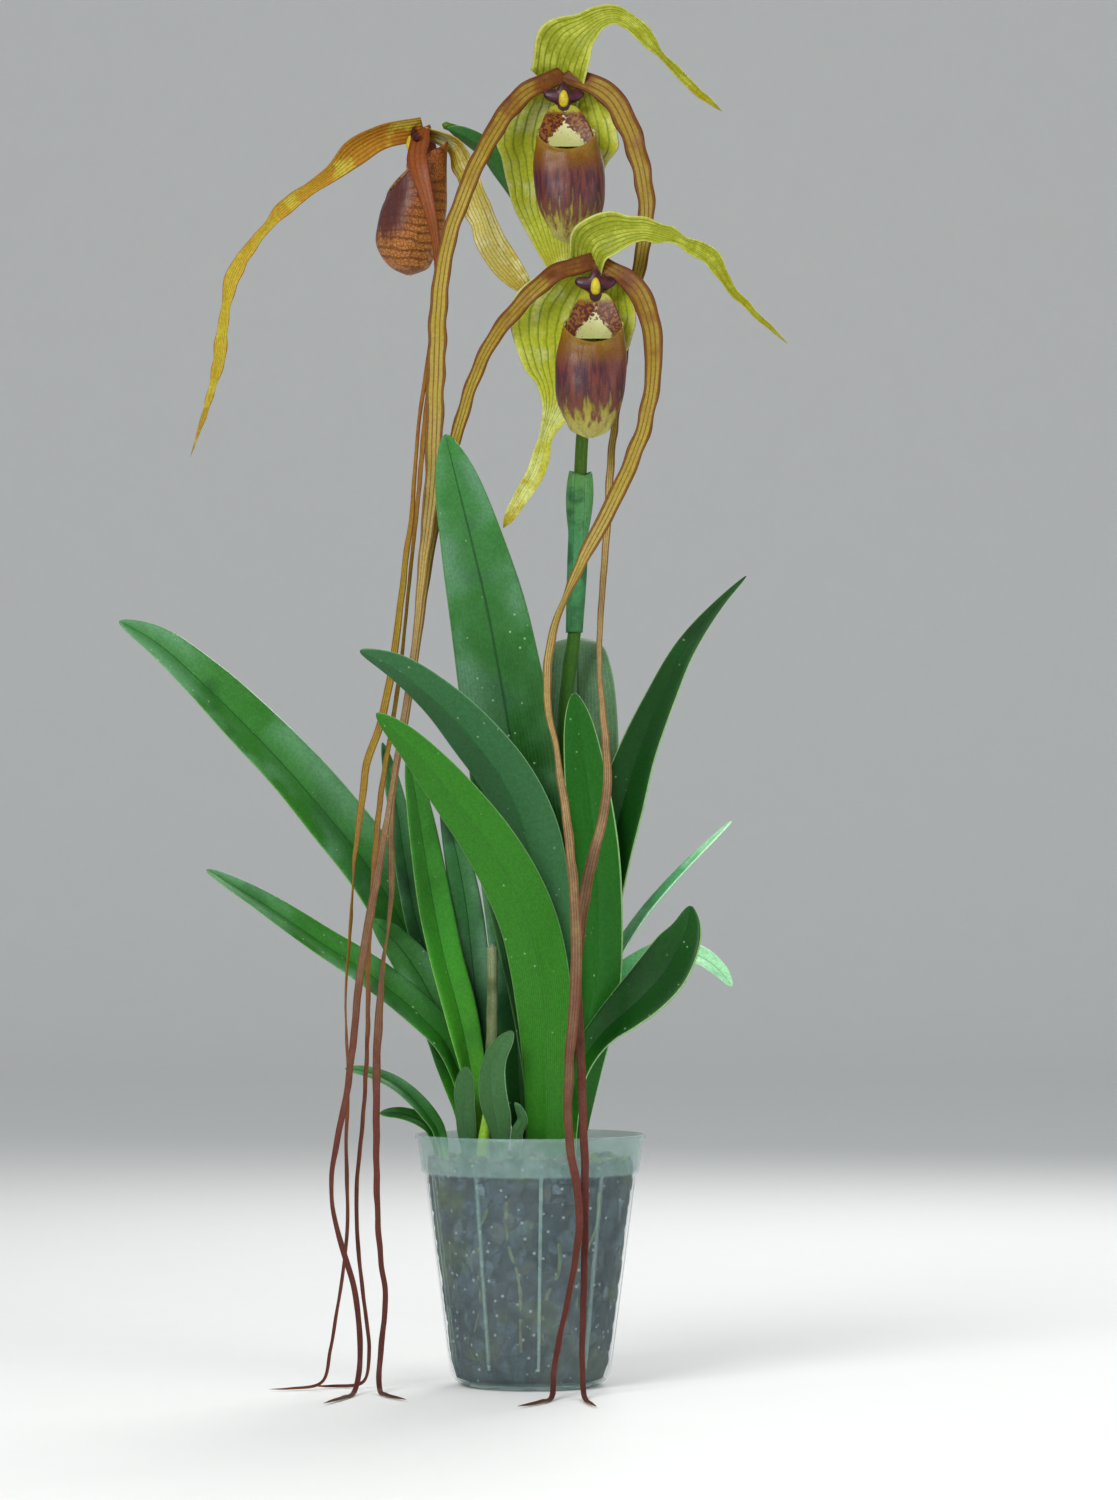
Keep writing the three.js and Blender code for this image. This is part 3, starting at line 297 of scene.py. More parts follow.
def blade(node, material, size, from_base, look):
    """A leaf, sepal or petal. Where look has a join, the run starts there instead of at its first rings, as
    many as drop, with neck times the width. A sway pushes its middle line by a bell over the share of its
    length (centre, reach, mm), and girth gives (share, factor) pairs for its width. Its outline is scalloped
    and its edges wave, by sines along each edge times the half width and a power of the share across. Veins
    pucker the face by a cosine across, roll turns the edges back, and keel thickens the middle underneath."""
    run = blade_run(node, size, from_base)
    if "join" in look:
        middle, chord, rise = (rows[look["drop"]:] for rows in run)
        run = (np.concatenate([look["join"][None], middle]), np.concatenate([chord[:1] * look["neck"], chord]),
               np.concatenate([rise[:1] * look["neck"], rise]))
    middle, chord, rise = run
    share = lengthwise(middle)[0]
    if "sway" in look:
        centre, reach, push = look["sway"]
        middle = middle + np.exp(-(((share - centre) / reach) ** 2))[:, None] * np.array(push) * MM
    wide = np.interp(share[:-1], *zip(*look.get("girth", ((0, 1), (1, 1)))))[:, None]
    run = (middle, chord * wide, rise * wide)
    rng = chance(node)
    u, t = spread(look["across"]), stations(look["along"])
    grid, half, length = drawn(run, u, t, look["tip"], look["ridge"])
    out = faces_out(grid)
    pitch = length / look["pitch"]
    left, right = waves(t, pitch, rng), waves(t, pitch, rng)
    outline = np.where(u[None] < 0, right[:, None], left[:, None]) * u[None] * np.abs(u[None]) ** 2
    across = unit(grid[:, -1:] - grid[:, :1])
    swell = look["swell"](t)[:, None] if "swell" in look else 1.0
    grid = grid + across * (look.get("scallop", 0) * half[:, None] * outline * swell)[..., None]
    edge = np.where(u[None] < 0, left[:, None], right[:, None]) * np.abs(u[None]) ** look["edge_power"]
    lift = look["wave"] * half[:, None] * edge * swell
    pucker = look.get("pucker", 0) * MM * np.cos(np.pi * u[None] * look.get("veins", 0)) * (1 - u[None] ** 4)
    roll = -look.get("roll", 0) * half[:, None] * np.abs(u[None]) ** 9
    grid = grid + out * (lift + roll + pucker * np.minimum(1, half[:, None] / (6 * MM)))[..., None]
    thin = look["thick"] * MM / 2 * np.minimum(1, half / (look["thick"] * MM))[:, None]
    rim = np.sqrt(1 - np.abs(u[None]) ** 8)
    above = thin * rim
    keel = 1 + look.get("keel", 0) * np.exp(-((u[None] / 0.09) ** 2)) * (1 - t[:, None]) ** 0.5
    below = thin * rim * keel
    points, faces, grow = walled(grid, above, below, u, t, run[0][-1])
    return make(node, points, faces, material, [node], grow)


def tube(name, spine, radius, material, stands_for=(), sides=24, samples=80, bumps=0.0):
    """A round run along a spine: circles square to it, with the radius given by share of the length.
    Each end closes in a low dome, its radius falling as the root of the distance left."""
    knots, length = lengthwise(spine)
    t = np.linspace(0, 1, samples)
    line = flow(knots, spine, t)
    along = unit(np.gradient(line, axis=0))
    side = unit(np.cross(along, np.array([0.08, -1.0, 0.12])))
    other = np.cross(along, side)
    r = radius(t)
    end = np.minimum(t, 1 - t) * length
    dome = np.clip(end / (0.5 * r.mean()), 0.02, 1)
    r = r * np.sqrt(dome * (2 - dome))
    rng = chance(name)
    a = full_turn(sides)
    rough = 1 + bumps * waves(t, length / (25 * MM), rng)[:, None] * np.cos(a + rng.uniform(0, 6))[None]
    ring = side[:, None] * np.cos(a)[None, :, None] + other[:, None] * np.sin(a)[None, :, None]
    rings = line[:, None] + ring * (r[:, None] * rough)[..., None]
    points, faces = loft(rings, line[0], line[-1])
    grow = np.concatenate([marks(rings.shape[:2], np.sin(a), t[:, None], 1.0), [[0, 0, 1], [0, 1, 1]]])
    return make(name, points, faces, material, stands_for, grow)


def spine_of(node, size):
    """A round node's middle line and its mean radius at each ring."""
    _, rings, _ = rings_of(node, size, lowest)
    middle = rings.mean(1)
    radius = np.linalg.norm(rings - middle[:, None], axis=2).mean(1)
    return middle, radius


# ---------- Materials ----------
# Settings that many nodes share.
SMOOTH = {"interpolation_type": "SMOOTHSTEP"}
TIMES = {"operation": "MULTIPLY"}
LESS = {"operation": "SUBTRACT"}
SIZE_OF = {"operation": "ABSOLUTE"}
SHADED_BY = {"blend_type": "MULTIPLY"}
RING_PITCH = 0.314       # how far apart a ring pattern's rings lie at scale 1


def colour(code):
    """An sRGB hex colour as linear red, green, blue and full cover."""
    value = np.array([int(code[k:k + 2], 16) for k in (1, 3, 5)]) / 255
    linear = np.where(value <= 0.04045, value / 12.92, ((value + 0.055) / 1.055) ** 2.4)
    return (*linear.tolist(), 1.0)


def per(size):
    """The scale of a pattern whose lumps, cells or lines are size mm apart."""
    return 1 / (size * MM)


def add_node(tree, kind, *inputs, out=0, stops=None, **settings):
    """Adds a shader node and gives one of its outputs, or all. Its inputs come in its own order, or as one
    dictionary by name: a socket is linked, a hex text is a colour and None is left alone. A ramp has stops."""
    node = tree.nodes.new("ShaderNode" + kind)
    for key, value in settings.items():
        setattr(node, key, value)
    by_name = len(inputs) == 1 and isinstance(inputs[0], dict)
    for key, value in inputs[0].items() if by_name else enumerate(inputs):
        if isinstance(value, bpy.types.NodeSocket):
            tree.links.new(value, node.inputs[key])
        elif value is not None:
            node.inputs[key].default_value = colour(value) if isinstance(value, str) else value
    if stops:
        band = node.color_ramp.elements
        for element, (share, code) in zip(band, (stops[0], stops[-1])):
            element.position, element.color = share, colour(code)
        for share, code in stops[1:-1]:
            band.new(share).color = colour(code)
    return node.outputs if out == "all" else node.outputs[out]


def begin(name):
    """A new material, the function that adds its nodes, and where a point is."""
    material = bpy.data.materials.new(name)
    material.use_nodes = True
    material.node_tree.nodes.clear()
    add = partial(add_node, material.node_tree)
    return material, add, add("TexCoord", out="Object")


def grown(add):
    """The three values of the piece's own point attribute."""
    grow = add("Attribute", out="Vector", attribute_type="GEOMETRY", attribute_name="grow")
    return add("SeparateXYZ", grow, out="all")


def make_shader(add, base, rough, height, depth, skin):
    """The shader itself: its base, roughness and bump are linked, and everything else is set on its sockets."""
    bump = add("Bump", {"Height": height, "Distance": depth * MM, "Strength": 1.0})
    shader = add("BsdfPrincipled", {"Base Color": base, "Roughness": rough, "Normal": bump, **skin})
    add("OutputMaterial", shader, out="all")


def growth(name, along, *, patch=None, patch_size=14, painted_sheen=None, under=None, veins=0, vein=None,
           vein_width=0.4, midrib_shade=None, edge=None, edge_from=0.94, edge_width=0.05, edge_end=1.0, specks=None,
           rough=(0.35, 0.5), depth=0.15, skin=None):
    """Living tissue in layers: colours from base to tip, patches, a pale sheen painted in patches towards the tip
    and the edges as painted light, the under side, veins that run lengthwise evenly across the width, a dark
    line of painted shade down the middle groove, an edge whose cover changes by edge_end along the blade,
    specks, and a fine grain over all."""
    material, add, where = begin(name)
    across, share, side = grown(add)
    lumps = add("TexNoise", where, None, per(patch_size), 3.0)
    fine = add("TexNoise", where, None, per(1.5), 3.0)
    off_middle = add("Math", across, **SIZE_OF)
    wander = add("Math", lumps, 0.25, -0.12, operation="MULTIPLY_ADD")
    base = add("ValToRGB", add("Math", share, wander), stops=along)
    if patch:
        base = add("MixRGB", add("MapRange", lumps, 0.46, 0.66, **SMOOTH), base, patch)
    # A pale bluish sheen painted in patches towards the tip and near the edges: painted light, standing in for a
    # reflection off the waxy skin.
    if painted_sheen:
        sheen_mask = add("MapRange", add("TexNoise", where, None, per(45), 3.0), 0.4, 0.6, **SMOOTH)
        sheen_mask = add("Math", sheen_mask, add("MapRange", off_middle, 0.1, 0.85, 0.12, 0.55, **SMOOTH), **TIMES)
        sheen_mask = add("Math", sheen_mask, add("MapRange", share, 0.3, 0.6, **SMOOTH), **TIMES)
        base = add("MixRGB", sheen_mask, base, painted_sheen)
    if under:
        base = add("MixRGB", add("MapRange", side, 0.75, 0.25, **SMOOTH), base, under)
    height = add("Math", fine, 0.5, **TIMES)
    if veins:
        bend = add("Math", add("Math", lumps, 0.5, **LESS), 0.10, **TIMES)
        turns = add("Math", add("Math", across, bend), veins * np.pi / 2, **TIMES)
        line = add("Math", add("Math", turns, operation="COSINE"), **SIZE_OF)
        line = add("MapRange", line, vein_width, 0.0, **SMOOTH)
        faded = add("Math", line, add("MapRange", lumps, 0.3, 0.6, 0.6, 0.9, **SMOOTH), **TIMES)
        base = add("MixRGB", faded, base, vein)
        height = add("Math", height, add("Math", line, -0.3, **TIMES))
    # A dark line painted down the middle groove on the upper face: painted shade in the crease, over the groove
    # that the bump sinks there.
    if midrib_shade:
        rib = add("MapRange", off_middle, 0.06, 0.01, **SMOOTH)
        rib = add("Math", rib, add("MapRange", side, 0.2, 0.8, 0.25, 1.0, **SMOOTH), **TIMES)
        base = add("MixRGB", add("Math", rib, 0.7, **TIMES), base, midrib_shade)
        height = add("Math", height, add("Math", rib, -2.0, **TIMES))
    if edge:
        rim = add("MapRange", off_middle, edge_from, edge_from + edge_width, **SMOOTH)
        cover = add("MapRange", share, 0.15, 0.55, 0.85, 0.85 * edge_end, **SMOOTH)
        base = add("MixRGB", add("Math", rim, cover, **TIMES), base, edge)
    if specks:
        dots = add("MapRange", add("TexVoronoi", where, None, per(6)), 0.13, 0.05, **SMOOTH)
        some = add("MapRange", add("TexNoise", where, None, per(22), 3.0), 0.46, 0.58, **SMOOTH)
        dots = add("Math", add("Math", dots, some, **TIMES), 0.6, **TIMES)
        base = add("MixRGB", dots, base, specks)
    base = add("MixRGB", 1.0, base, add("MapRange", fine, 0.3, 0.7, 0.86, 1.1, **SMOOTH), **SHADED_BY)
    make_shader(add, base, add("MapRange", lumps, 0.35, 0.65, *rough, **SMOOTH), height, depth, skin or {})
    return material


# Leaf skin: a waxy cuticle over firm green tissue, so it shows a broad soft shine and faint lengthwise lines.
WAX = {"IOR": 1.45, "Specular IOR Level": 0.22, "Coat Weight": 0.04, "Coat Roughness": 0.35}
# Petal skin: thin and matt, lit a little from behind, so light seems to come from inside it.
SOFT = {"IOR": 1.4, "Specular IOR Level": 0.25, "Subsurface Weight": 0.1, "Subsurface Scale": 0.003}
# Pouch skin: smooth and taut, so it shines more than a petal, and the throat inside it a little more still.
INFLATED = {"IOR": 1.45, "Specular IOR Level": 0.25, "Coat Weight": 0.03, "Coat Roughness": 0.4,
            "Subsurface Weight": 0.1, "Subsurface Scale": 0.004}
THROAT = {"IOR": 1.45, "Specular IOR Level": 0.25, "Coat Weight": 0.04, "Coat Roughness": 0.3}
LEAF_SKIN = {"patch_size": 40, "veins": 26, "vein_width": 0.3, "edge_from": 0.96, "rough": (0.36, 0.52),
             "depth": 0.1, "skin": WAX}
BLADE_SKIN = {"rough": (0.45, 0.6), "depth": 0.25, "skin": SOFT}
RIBBON_SKIN = {"veins": 4, "vein_width": 0.7, "edge_end": 0.5, "rough": (0.42, 0.58), "depth": 0.2,
               "skin": SOFT}

# In the leaf finishes below, the colour for the middle groove is painted shade, and the pale bluish sheen colour is
# painted light.
leaf_green = growth(
    "orchid_leaf_cuticle",
    [(0.0, "#86b02c"), (0.12, "#5a9a1c"), (0.24, "#2c760e"), (0.36, "#21680c"), (0.7, "#2a6c1c"),
     (1.0, "#3c7638")],
    **{**LEAF_SKIN, "patch": "#1a5416", "vein": "#418a34", "edge": "#8fc070", "under": "#2b7013",
       "midrib_shade": "#174a1c", "specks": "#9fc08f", "painted_sheen": "#6c9c78"})
# A lighter copy of the leaf finish for the upright leaf on the left: painted light, making up for the shade that
# the other leaves cast on it.
leaf_painted_lighter = growth(
    "painted_lighter_leaf_cuticle", [(0.0, "#7fae2a"), (0.15, "#48921c"), (0.5, "#358820"), (1.0, "#3c8030")],
    **{**LEAF_SKIN, "patch": "#2a7018", "vein": "#57a044", "edge": "#9ccc70", "edge_from": 0.955,
       "under": "#35801a", "midrib_shade": "#20561c", "specks": "#9fc08f"})
# The tall leaf's colours run dark over its lower half: painted shade where its neighbours shade it, over its own
# green.
leaf_tall_with_painted_shade = growth(
    "tall_leaf_painted_shade_cuticle",
    [(0.0, "#3f6a1c"), (0.2, "#18390f"), (0.48, "#1a4216"), (0.7, "#296426"), (1.0, "#367634")],
    **{**LEAF_SKIN, "patch": "#174a20", "patch_size": 45, "vein": "#356f34", "edge": "#7fb06a",
       "edge_from": 0.965, "under": "#2b7013", "midrib_shade": "#10381a", "specks": "#a8c8a0", "painted_sheen": "#6c9c78",
       "rough": (0.34, 0.5)})
leaf_slate = growth(
    "grey_green_leaf_back", [(0.0, "#4f7a24"), (0.3, "#4a7040"), (1.0, "#587a54")],
    **{**LEAF_SKIN, "patch": "#45694a", "patch_size": 20, "veins": 22, "vein": "#67886a", "vein_width": 0.45,
       "edge": "#9cbc8c", "edge_from": 0.95, "under": "#436a3e", "midrib_shade": "#2a4a30", "rough": (0.45, 0.6),
       "depth": 0.12})
# A much darker copy of the leaf finish: painted shade for the leaves that lie darkest in the plant's shade.
leaf_deep_painted_shade = growth(
    "deep_painted_shade_leaf_cuticle",
    [(0.0, "#5f9a22"), (0.14, "#1f680c"), (0.4, "#0b4208"), (0.75, "#0b3a0b"), (1.0, "#144a12")],
    **{**LEAF_SKIN, "patch": "#0a320c", "vein": "#236320", "edge": "#9cc884", "edge_from": 0.925,
       "under": "#1a5f10", "midrib_shade": "#0f3a16", "specks": "#8fb488", "rough": (0.32, 0.48)})
# A darker copy of the leaf finish: painted shade for the leaves that others shade.
leaf_dark = growth(
    "shaded_leaf_cuticle",
    [(0.0, "#4a8a24"), (0.15, "#235f1c"), (0.45, "#173f1c"), (0.72, "#347038"), (1.0, "#44804a")],
    **{**LEAF_SKIN, "patch": "#123a1c", "vein": "#2c6236", "edge": "#7fae78", "under": "#33663a",
       "midrib_shade": "#10301c", "specks": "#8aa88a", "painted_sheen": "#6c9c78", "rough": (0.38, 0.54)})
# A pale mint copy of the leaf finish, whitest at the tip and edges: painted light, as sheen and as light shining
# through the drooping leaves.
leaf_painted_lit_through = growth(
    "pale_leaf_painted_lit_through", [(0.0, "#5a9a30"), (0.3, "#4f9a4a"), (0.6, "#86cc92"), (1.0, "#b4f0bc")],
    patch="#62b878", patch_size=30, veins=18, vein="#5aa873", edge="#d2f6cf", under="#8fd8a4",
    midrib_shade="#3f9460", rough=(0.36, 0.5), depth=0.1, skin=WAX)
leaf_grey = growth(
    "grey_young_leaf_cuticle", [(0.0, "#4f7a24"), (0.2, "#244620"), (1.0, "#224226")],
    patch="#234030", veins=16, vein="#476c4e", edge="#86ac80", under="#386434", midrib_shade="#1e3626",
    rough=(0.42, 0.56), depth=0.1, skin=WAX)
stem_green = growth(
    "flower_stem_skin", [(0.0, "#3f6a14"), (0.5, "#2c580c"), (1.0, "#4c6810")], patch="#224c0c", patch_size=18,
    veins=8, vein="#2f5c14", rough=(0.42, 0.6), depth=0.2, skin=WAX)
bract_green = growth(
    "bract_skin", [(0.0, "#34703c"), (0.5, "#408050"), (1.0, "#568c48")], patch="#2c6038", patch_size=9,
    veins=14, vein="#28543a", edge="#86b070", under="#346a2c", rough=(0.4, 0.55), skin=WAX)
dorsal_yellow = growth(
    "yellow_sepal_tissue",
    [(0.0, "#7c8418"), (0.3, "#8c9424"), (0.6, "#8c9018"), (0.8, "#8f8c10"), (1.0, "#a08c08")],
    patch="#a2a83c", patch_size=9, veins=9, vein="#5c6c0c", vein_width=0.62, edge="#b4b868", edge_from=0.9,
    under="#7c8416", **BLADE_SKIN)
dorsal_gold = growth(
    "golden_sepal_tissue",
    [(0.0, "#8f5a10"), (0.2, "#9c7012"), (0.45, "#a88a1c"), (0.7, "#a89824"), (1.0, "#9c7410")],
    patch="#aca034", patch_size=12, veins=7, vein="#7a4c0c", vein_width=0.6, edge="#8a5c14", edge_from=0.86,
    under="#8c680e", **BLADE_SKIN)
synsepal_green = growth(
    "pale_sepal_tissue", [(0.0, "#9ea81c"), (0.3, "#aeb630"), (0.65, "#b0b43a"), (1.0, "#a8941e")],
    patch="#c0c672", veins=13, vein="#6a8420", vein_width=0.6, edge="#c4c884", edge_from=0.95,
    under="#939e24", **BLADE_SKIN)
synsepal_gold = growth(
    "pale_golden_sepal_tissue",
    [(0.0, "#a07c14"), (0.3, "#b4a434"), (0.6, "#c4bc6c"), (0.85, "#b0a040"), (1.0, "#9c7c1c")],
    patch="#ccc888", patch_size=12, veins=9, vein="#80681c", vein_width=0.55, edge="#a88c30", edge_from=0.93,
    under="#a08828", **BLADE_SKIN)
# The dark bands down both sides of the ribbon petals are partly their own brown stripes and partly painted shade
# that gives the channelled ribbon its depth.
petal_brown = growth(
    "ribbon_petal_tissue",
    [(0.0, "#5c300c"), (0.03, "#6f4410"), (0.08, "#8a7220"), (0.2, "#9a8834"), (0.34, "#a08c4c"),
     (0.46, "#9a8258"), (0.6, "#745a42"), (0.74, "#62322e"), (1.0, "#3c161e")],
    vein="#5c3410", edge="#5c2a0c", edge_from=0.6, edge_width=0.3, under="#86761f", **RIBBON_SKIN)
petal_gold = growth(
    "ochre_petal_tissue",
    [(0.0, "#7c3e12"), (0.1, "#7a4218"), (0.22, "#8a601c"), (0.4, "#94821e"), (0.58, "#8a6c34"),
     (0.76, "#643830"), (1.0, "#3c161e")],
    vein="#6a2c10", edge="#6c300f", edge_from=0.66, edge_width=0.24, under="#8c6e20", **RIBBON_SKIN)
shoot_green = growth(
    "new_shoot_skin", [(0.0, "#a0a85a"), (0.4, "#86b42c"), (1.0, "#a0c848")], patch="#74a428", patch_size=6,
    veins=8, vein="#6f9a2c", rough=(0.4, 0.55), depth=0.1, skin=WAX)
# Dry, corky skins: matt, with coarser lines.
stalk_tan = growth(
    "dried_stalk", [(0.0, "#4c5c28"), (0.5, "#5a6a38"), (1.0, "#7c8860")], patch="#4c5c30", patch_size=18,
    veins=12, vein="#4c5430", rough=(0.6, 0.8), depth=0.35)
root_skin = growth(
    "root_skin", [(0.0, "#56703a"), (0.5, "#62704c"), (1.0, "#5c5638")], patch="#46522c", patch_size=8,
    veins=4, vein="#667050", rough=(0.6, 0.8), depth=0.3)


def cup_material(name, tones):
    """The pouch: glossy inflated tissue. Its point attribute gives the share of the way from toe to lip, the
    turn from the front (0) to the back (1), and 0 inside or 1 outside. A ragged dark patch covers part of it:
    on the purple pouch its own purple, and on the netted one partly its own purple and partly painted shade
    over the front of the mouth. A net of cells and wavy arcs round the column covers the netted one."""
    material, add, where = begin(name)
    height, turn, outside = grown(add)
    streak = add("TexNoise", add("Mapping", where, None, None, (1.0, 1.0, 0.14)), None, per(2.6), 3.0)
    lumps = add("TexNoise", where, None, per(7), 3.0)
    fine = add("TexNoise", where, None, per(0.9), 3.0)
    wander = add("Math", add("Math", lumps, 0.5, **LESS), 0.25, **TIMES)
    base = add("ValToRGB", add("Math", height, wander), stops=tones["toe_to_lip"])
    ragged = add("Math", add("Math", streak, 0.5, **LESS), tones["ragged"], **TIMES)
    flush_and_shade = add("MapRange", add("Math", height, ragged), *tones["flush_from"], **SMOOTH)
    flush_and_shade = add("Math", flush_and_shade, add("MapRange", height, *tones["flush_to"], **SMOOTH), **TIMES)
    flush_and_shade = add("Math", flush_and_shade, add("MapRange", turn, *tones["flush_side"], **SMOOTH), **TIMES)
    tint = add("MixRGB", add("MapRange", streak, 0.4, 0.62, **SMOOTH), tones["flush_and_shade"], tones["streak"])
    base = add("MixRGB", add("Math", flush_and_shade, 0.93, **TIMES), base, tint)
    if "net" in tones:
        cells = add("TexVoronoi", where, None, per(2.0), feature="DISTANCE_TO_EDGE")
        lines = add("Math", add("MapRange", cells, 0.12, 0.03, **SMOOTH), 0.7, **TIMES)
        base = add("MixRGB", lines, base, tones["net"])
        arcs = add("TexWave", add("Mapping", where, tones["heart"]), RING_PITCH * per(3.6), 5.0, 3.0, 1.0,
                   out="Fac", wave_type="RINGS", rings_direction="SPHERICAL")
        lines = add("Math", add("MapRange", arcs, 0.34, 0.08, **SMOOTH), 0.6, **TIMES)
        base = add("MixRGB", lines, base, tones["net"])
    spots = add("MapRange", add("TexNoise", where, None, per(1.6), 3.0), 0.52, 0.6, **SMOOTH)
    base = add("MixRGB", outside, add("MixRGB", spots, tones["inside"], tones["spots"]), base)
    base = add("MixRGB", 1.0, base, add("MapRange", fine, 0.3, 0.7, 0.85, 1.1, **SMOOTH), **SHADED_BY)
    rough = add("MapRange", lumps, 0.35, 0.65, 0.36, 0.5, **SMOOTH)
    bumps = add("Math", streak, add("Math", fine, 0.3, **TIMES))
    make_shader(add, base, rough, bumps, 0.35, INFLATED)
    return material


purple_cup = cup_material("flushed_pouch_tissue", {
    "toe_to_lip": [(0.0, "#a39e58"), (0.3, "#8f8430"), (0.66, "#744214"), (0.88, "#6c4408"), (1.0, "#7c5c10")],
    "flush_and_shade": "#3c1c2c", "streak": "#64302c", "ragged": 1.1, "flush_from": (0.16, 0.4), "flush_to": (0.9, 0.68),
    "flush_side": (0.62, 0.5), "inside": "#b8b472", "spots": "#5a2a14"})
# On the netted pouch the dark purple over the upper front is partly its own colour and partly painted shade at the
# mouth.
netted_cup = cup_material("netted_pouch_tissue", {
    "toe_to_lip": [(0.0, "#a86c30"), (0.5, "#a86c30"), (1.0, "#945424")],
    "flush_and_shade": "#38202c", "streak": "#4c242c", "ragged": 0.5, "flush_from": (0.42, 0.62), "flush_to": (1.3, 1.2),
    "flush_side": (0.5, 0.28), "inside": "#a07c48", "spots": "#6f3a24", "net": "#4c220e",
    "heart": tuple(-(centre_of("column_c") + np.array([0, 0, -14]) * MM))})


def throat_material(name, brown, dark):
    """The pouch's throat: cream in a triangle, with brown mottled lobes on both sides that turn green at the
    top, and dots that crowd upwards. Its point attribute gives the share across (-1 to 1) and the share up."""
    material, add, where = begin(name)
    across, up, _ = grown(add)
    blots = add("TexNoise", where, None, per(1.5), 3.0)
    fine = add("TexNoise", where, None, per(0.7), 3.0)
    width = add("MapRange", up, 0.08, 0.66, 0.6, 0.03, **SMOOTH)
    ragged = add("Math", add("Math", blots, 0.5, **LESS), 0.5, **TIMES)
    past = add("Math", add("Math", add("Math", across, **SIZE_OF), ragged), width, **LESS)
    mottle = add("MixRGB", add("MapRange", blots, 0.42, 0.56, **SMOOTH), brown, dark)
    green = add("MapRange", add("Math", up, add("Math", blots, 0.3, **TIMES)), 0.9, 1.05, **SMOOTH)
    mottle = add("MixRGB", green, mottle, "#8f9024")
    cream = add("MixRGB", add("MapRange", up, 0.1, 0.7, **SMOOTH), "#aaaa68", "#c4c096")
    crowd = add("MapRange", up, 0.3, 0.6, 0.12, 0.62, **SMOOTH)
    dots = add("Math", add("TexVoronoi", where, None, per(1.9)), crowd, operation="LESS_THAN")
    base = add("MixRGB", add("Math", dots, 0.9, **TIMES), cream, "#4a1a1c")
    base = add("MixRGB", add("MapRange", past, -0.04, 0.06, **SMOOTH), base, mottle)
    make_shader(add, base, add("MapRange", fine, 0.3, 0.7, 0.3, 0.45, **SMOOTH), blots, 0.3, THROAT)
    return material


throat_tissue = throat_material("spotted_throat_tissue", "#7c4c0c", "#4c1a10")
throat_tan = throat_material("tan_throat_tissue", "#a87448", "#8a4a34")


def plain(name, low, high, size, rough, depth, stops=(0.35, 0.65), shade=(0.85, 1.12), **skin):
    """A plain surface whose colour and roughness drift between two values over lumps of a given size in mm."""
    material, add, where = begin(name)
    lumps = add("TexNoise", where, None, per(size), 4.0)
    fine = add("TexNoise", where, None, per(size / 6), 4.0)
    base = add("MixRGB", add("MapRange", lumps, *stops, **SMOOTH), low, high)
    base = add("MixRGB", 1.0, base, add("MapRange", fine, 0.3, 0.7, *shade, **SMOOTH), **SHADED_BY)
    make_shader(add, base, add("MapRange", fine, 0.3, 0.7, *rough, **SMOOTH), fine, depth, skin)
    return material


column_yellow = plain("column_knob_tissue", "#a8940c", "#bfae20", 3, (0.35, 0.5), 0.15,
                      **{"Specular IOR Level": 0.3})
column_maroon = plain("column_shield_tissue", "#2c0810", "#45101c", 4, (0.3, 0.45), 0.15,
                      **{"Specular IOR Level": 0.3, "Coat Weight": 0.05})
# Polypropylene, moulded thin: the wall is mostly seen through, and the doubled collar looks milkier.
pot_plastic = plain("clear_polypropylene", "#8fa8ae", "#a4b8bc", 30, (0.25, 0.35), 0.1,
                    **{"IOR": 1.49, "Alpha": 0.1})
collar_plastic = plain("milky_polypropylene", "#8fb0aa", "#a4c0ba", 30, (0.28, 0.4), 0.1,
                       **{"IOR": 1.49, "Alpha": 0.36})


def mix_material():
    """Bark and powdered stone pressed against the wall: slate lumps, seams painted near black as shade in the
    gaps between them, green moss, darker and lighter clouds, a darkening towards the foot, and pale grains."""
    material, add, where = begin("bark_mix")
    lump, seam, _ = grown(add)
    fine = add("TexNoise", where, None, per(2.2), 5.0)
    base = add("ValToRGB", lump, stops=[(0.0, "#1c2428"), (0.3, "#303e44"), (0.6, "#44545c"), (0.85, "#38382c"),
                                        (1.0, "#5c6c74")])
    # The seams between lumps are painted near black: painted shade in the gaps.
    base = add("MixRGB", add("MapRange", seam, 0.35, 0.0, **SMOOTH), base, "#0f1416")
    moss = add("MapRange", add("TexNoise", where, None, per(26), 3.0), 0.5, 0.62, **SMOOTH)
    base = add("MixRGB", add("Math", moss, 0.7, **TIMES), base, "#40521c")
    cloud = add("MapRange", add("TexNoise", where, None, per(9), 4.0), 0.36, 0.64, 0.45, 1.35, **SMOOTH)
    base = add("MixRGB", 1.0, base, cloud, **SHADED_BY)
    level = add("MapRange", add("SeparateXYZ", where, out=2), 10 * MM, 100 * MM, 0.55, 0.9, **SMOOTH)
    base = add("MixRGB", 1.0, base, level, **SHADED_BY)
    grains = add("MapRange", add("TexVoronoi", where, None, per(5.5)), 0.2, 0.1, **SMOOTH)
    base = add("MixRGB", add("Math", grains, 0.8, **TIMES), base, "#8c9ca0")
    base = add("MixRGB", 1.0, base, add("MapRange", fine, 0.25, 0.75, 0.7, 1.35, **SMOOTH), **SHADED_BY)
    make_shader(add, base, add("MapRange", fine, 0.3, 0.7, 0.75, 0.95, **SMOOTH), fine, 0.5, {})
    return material


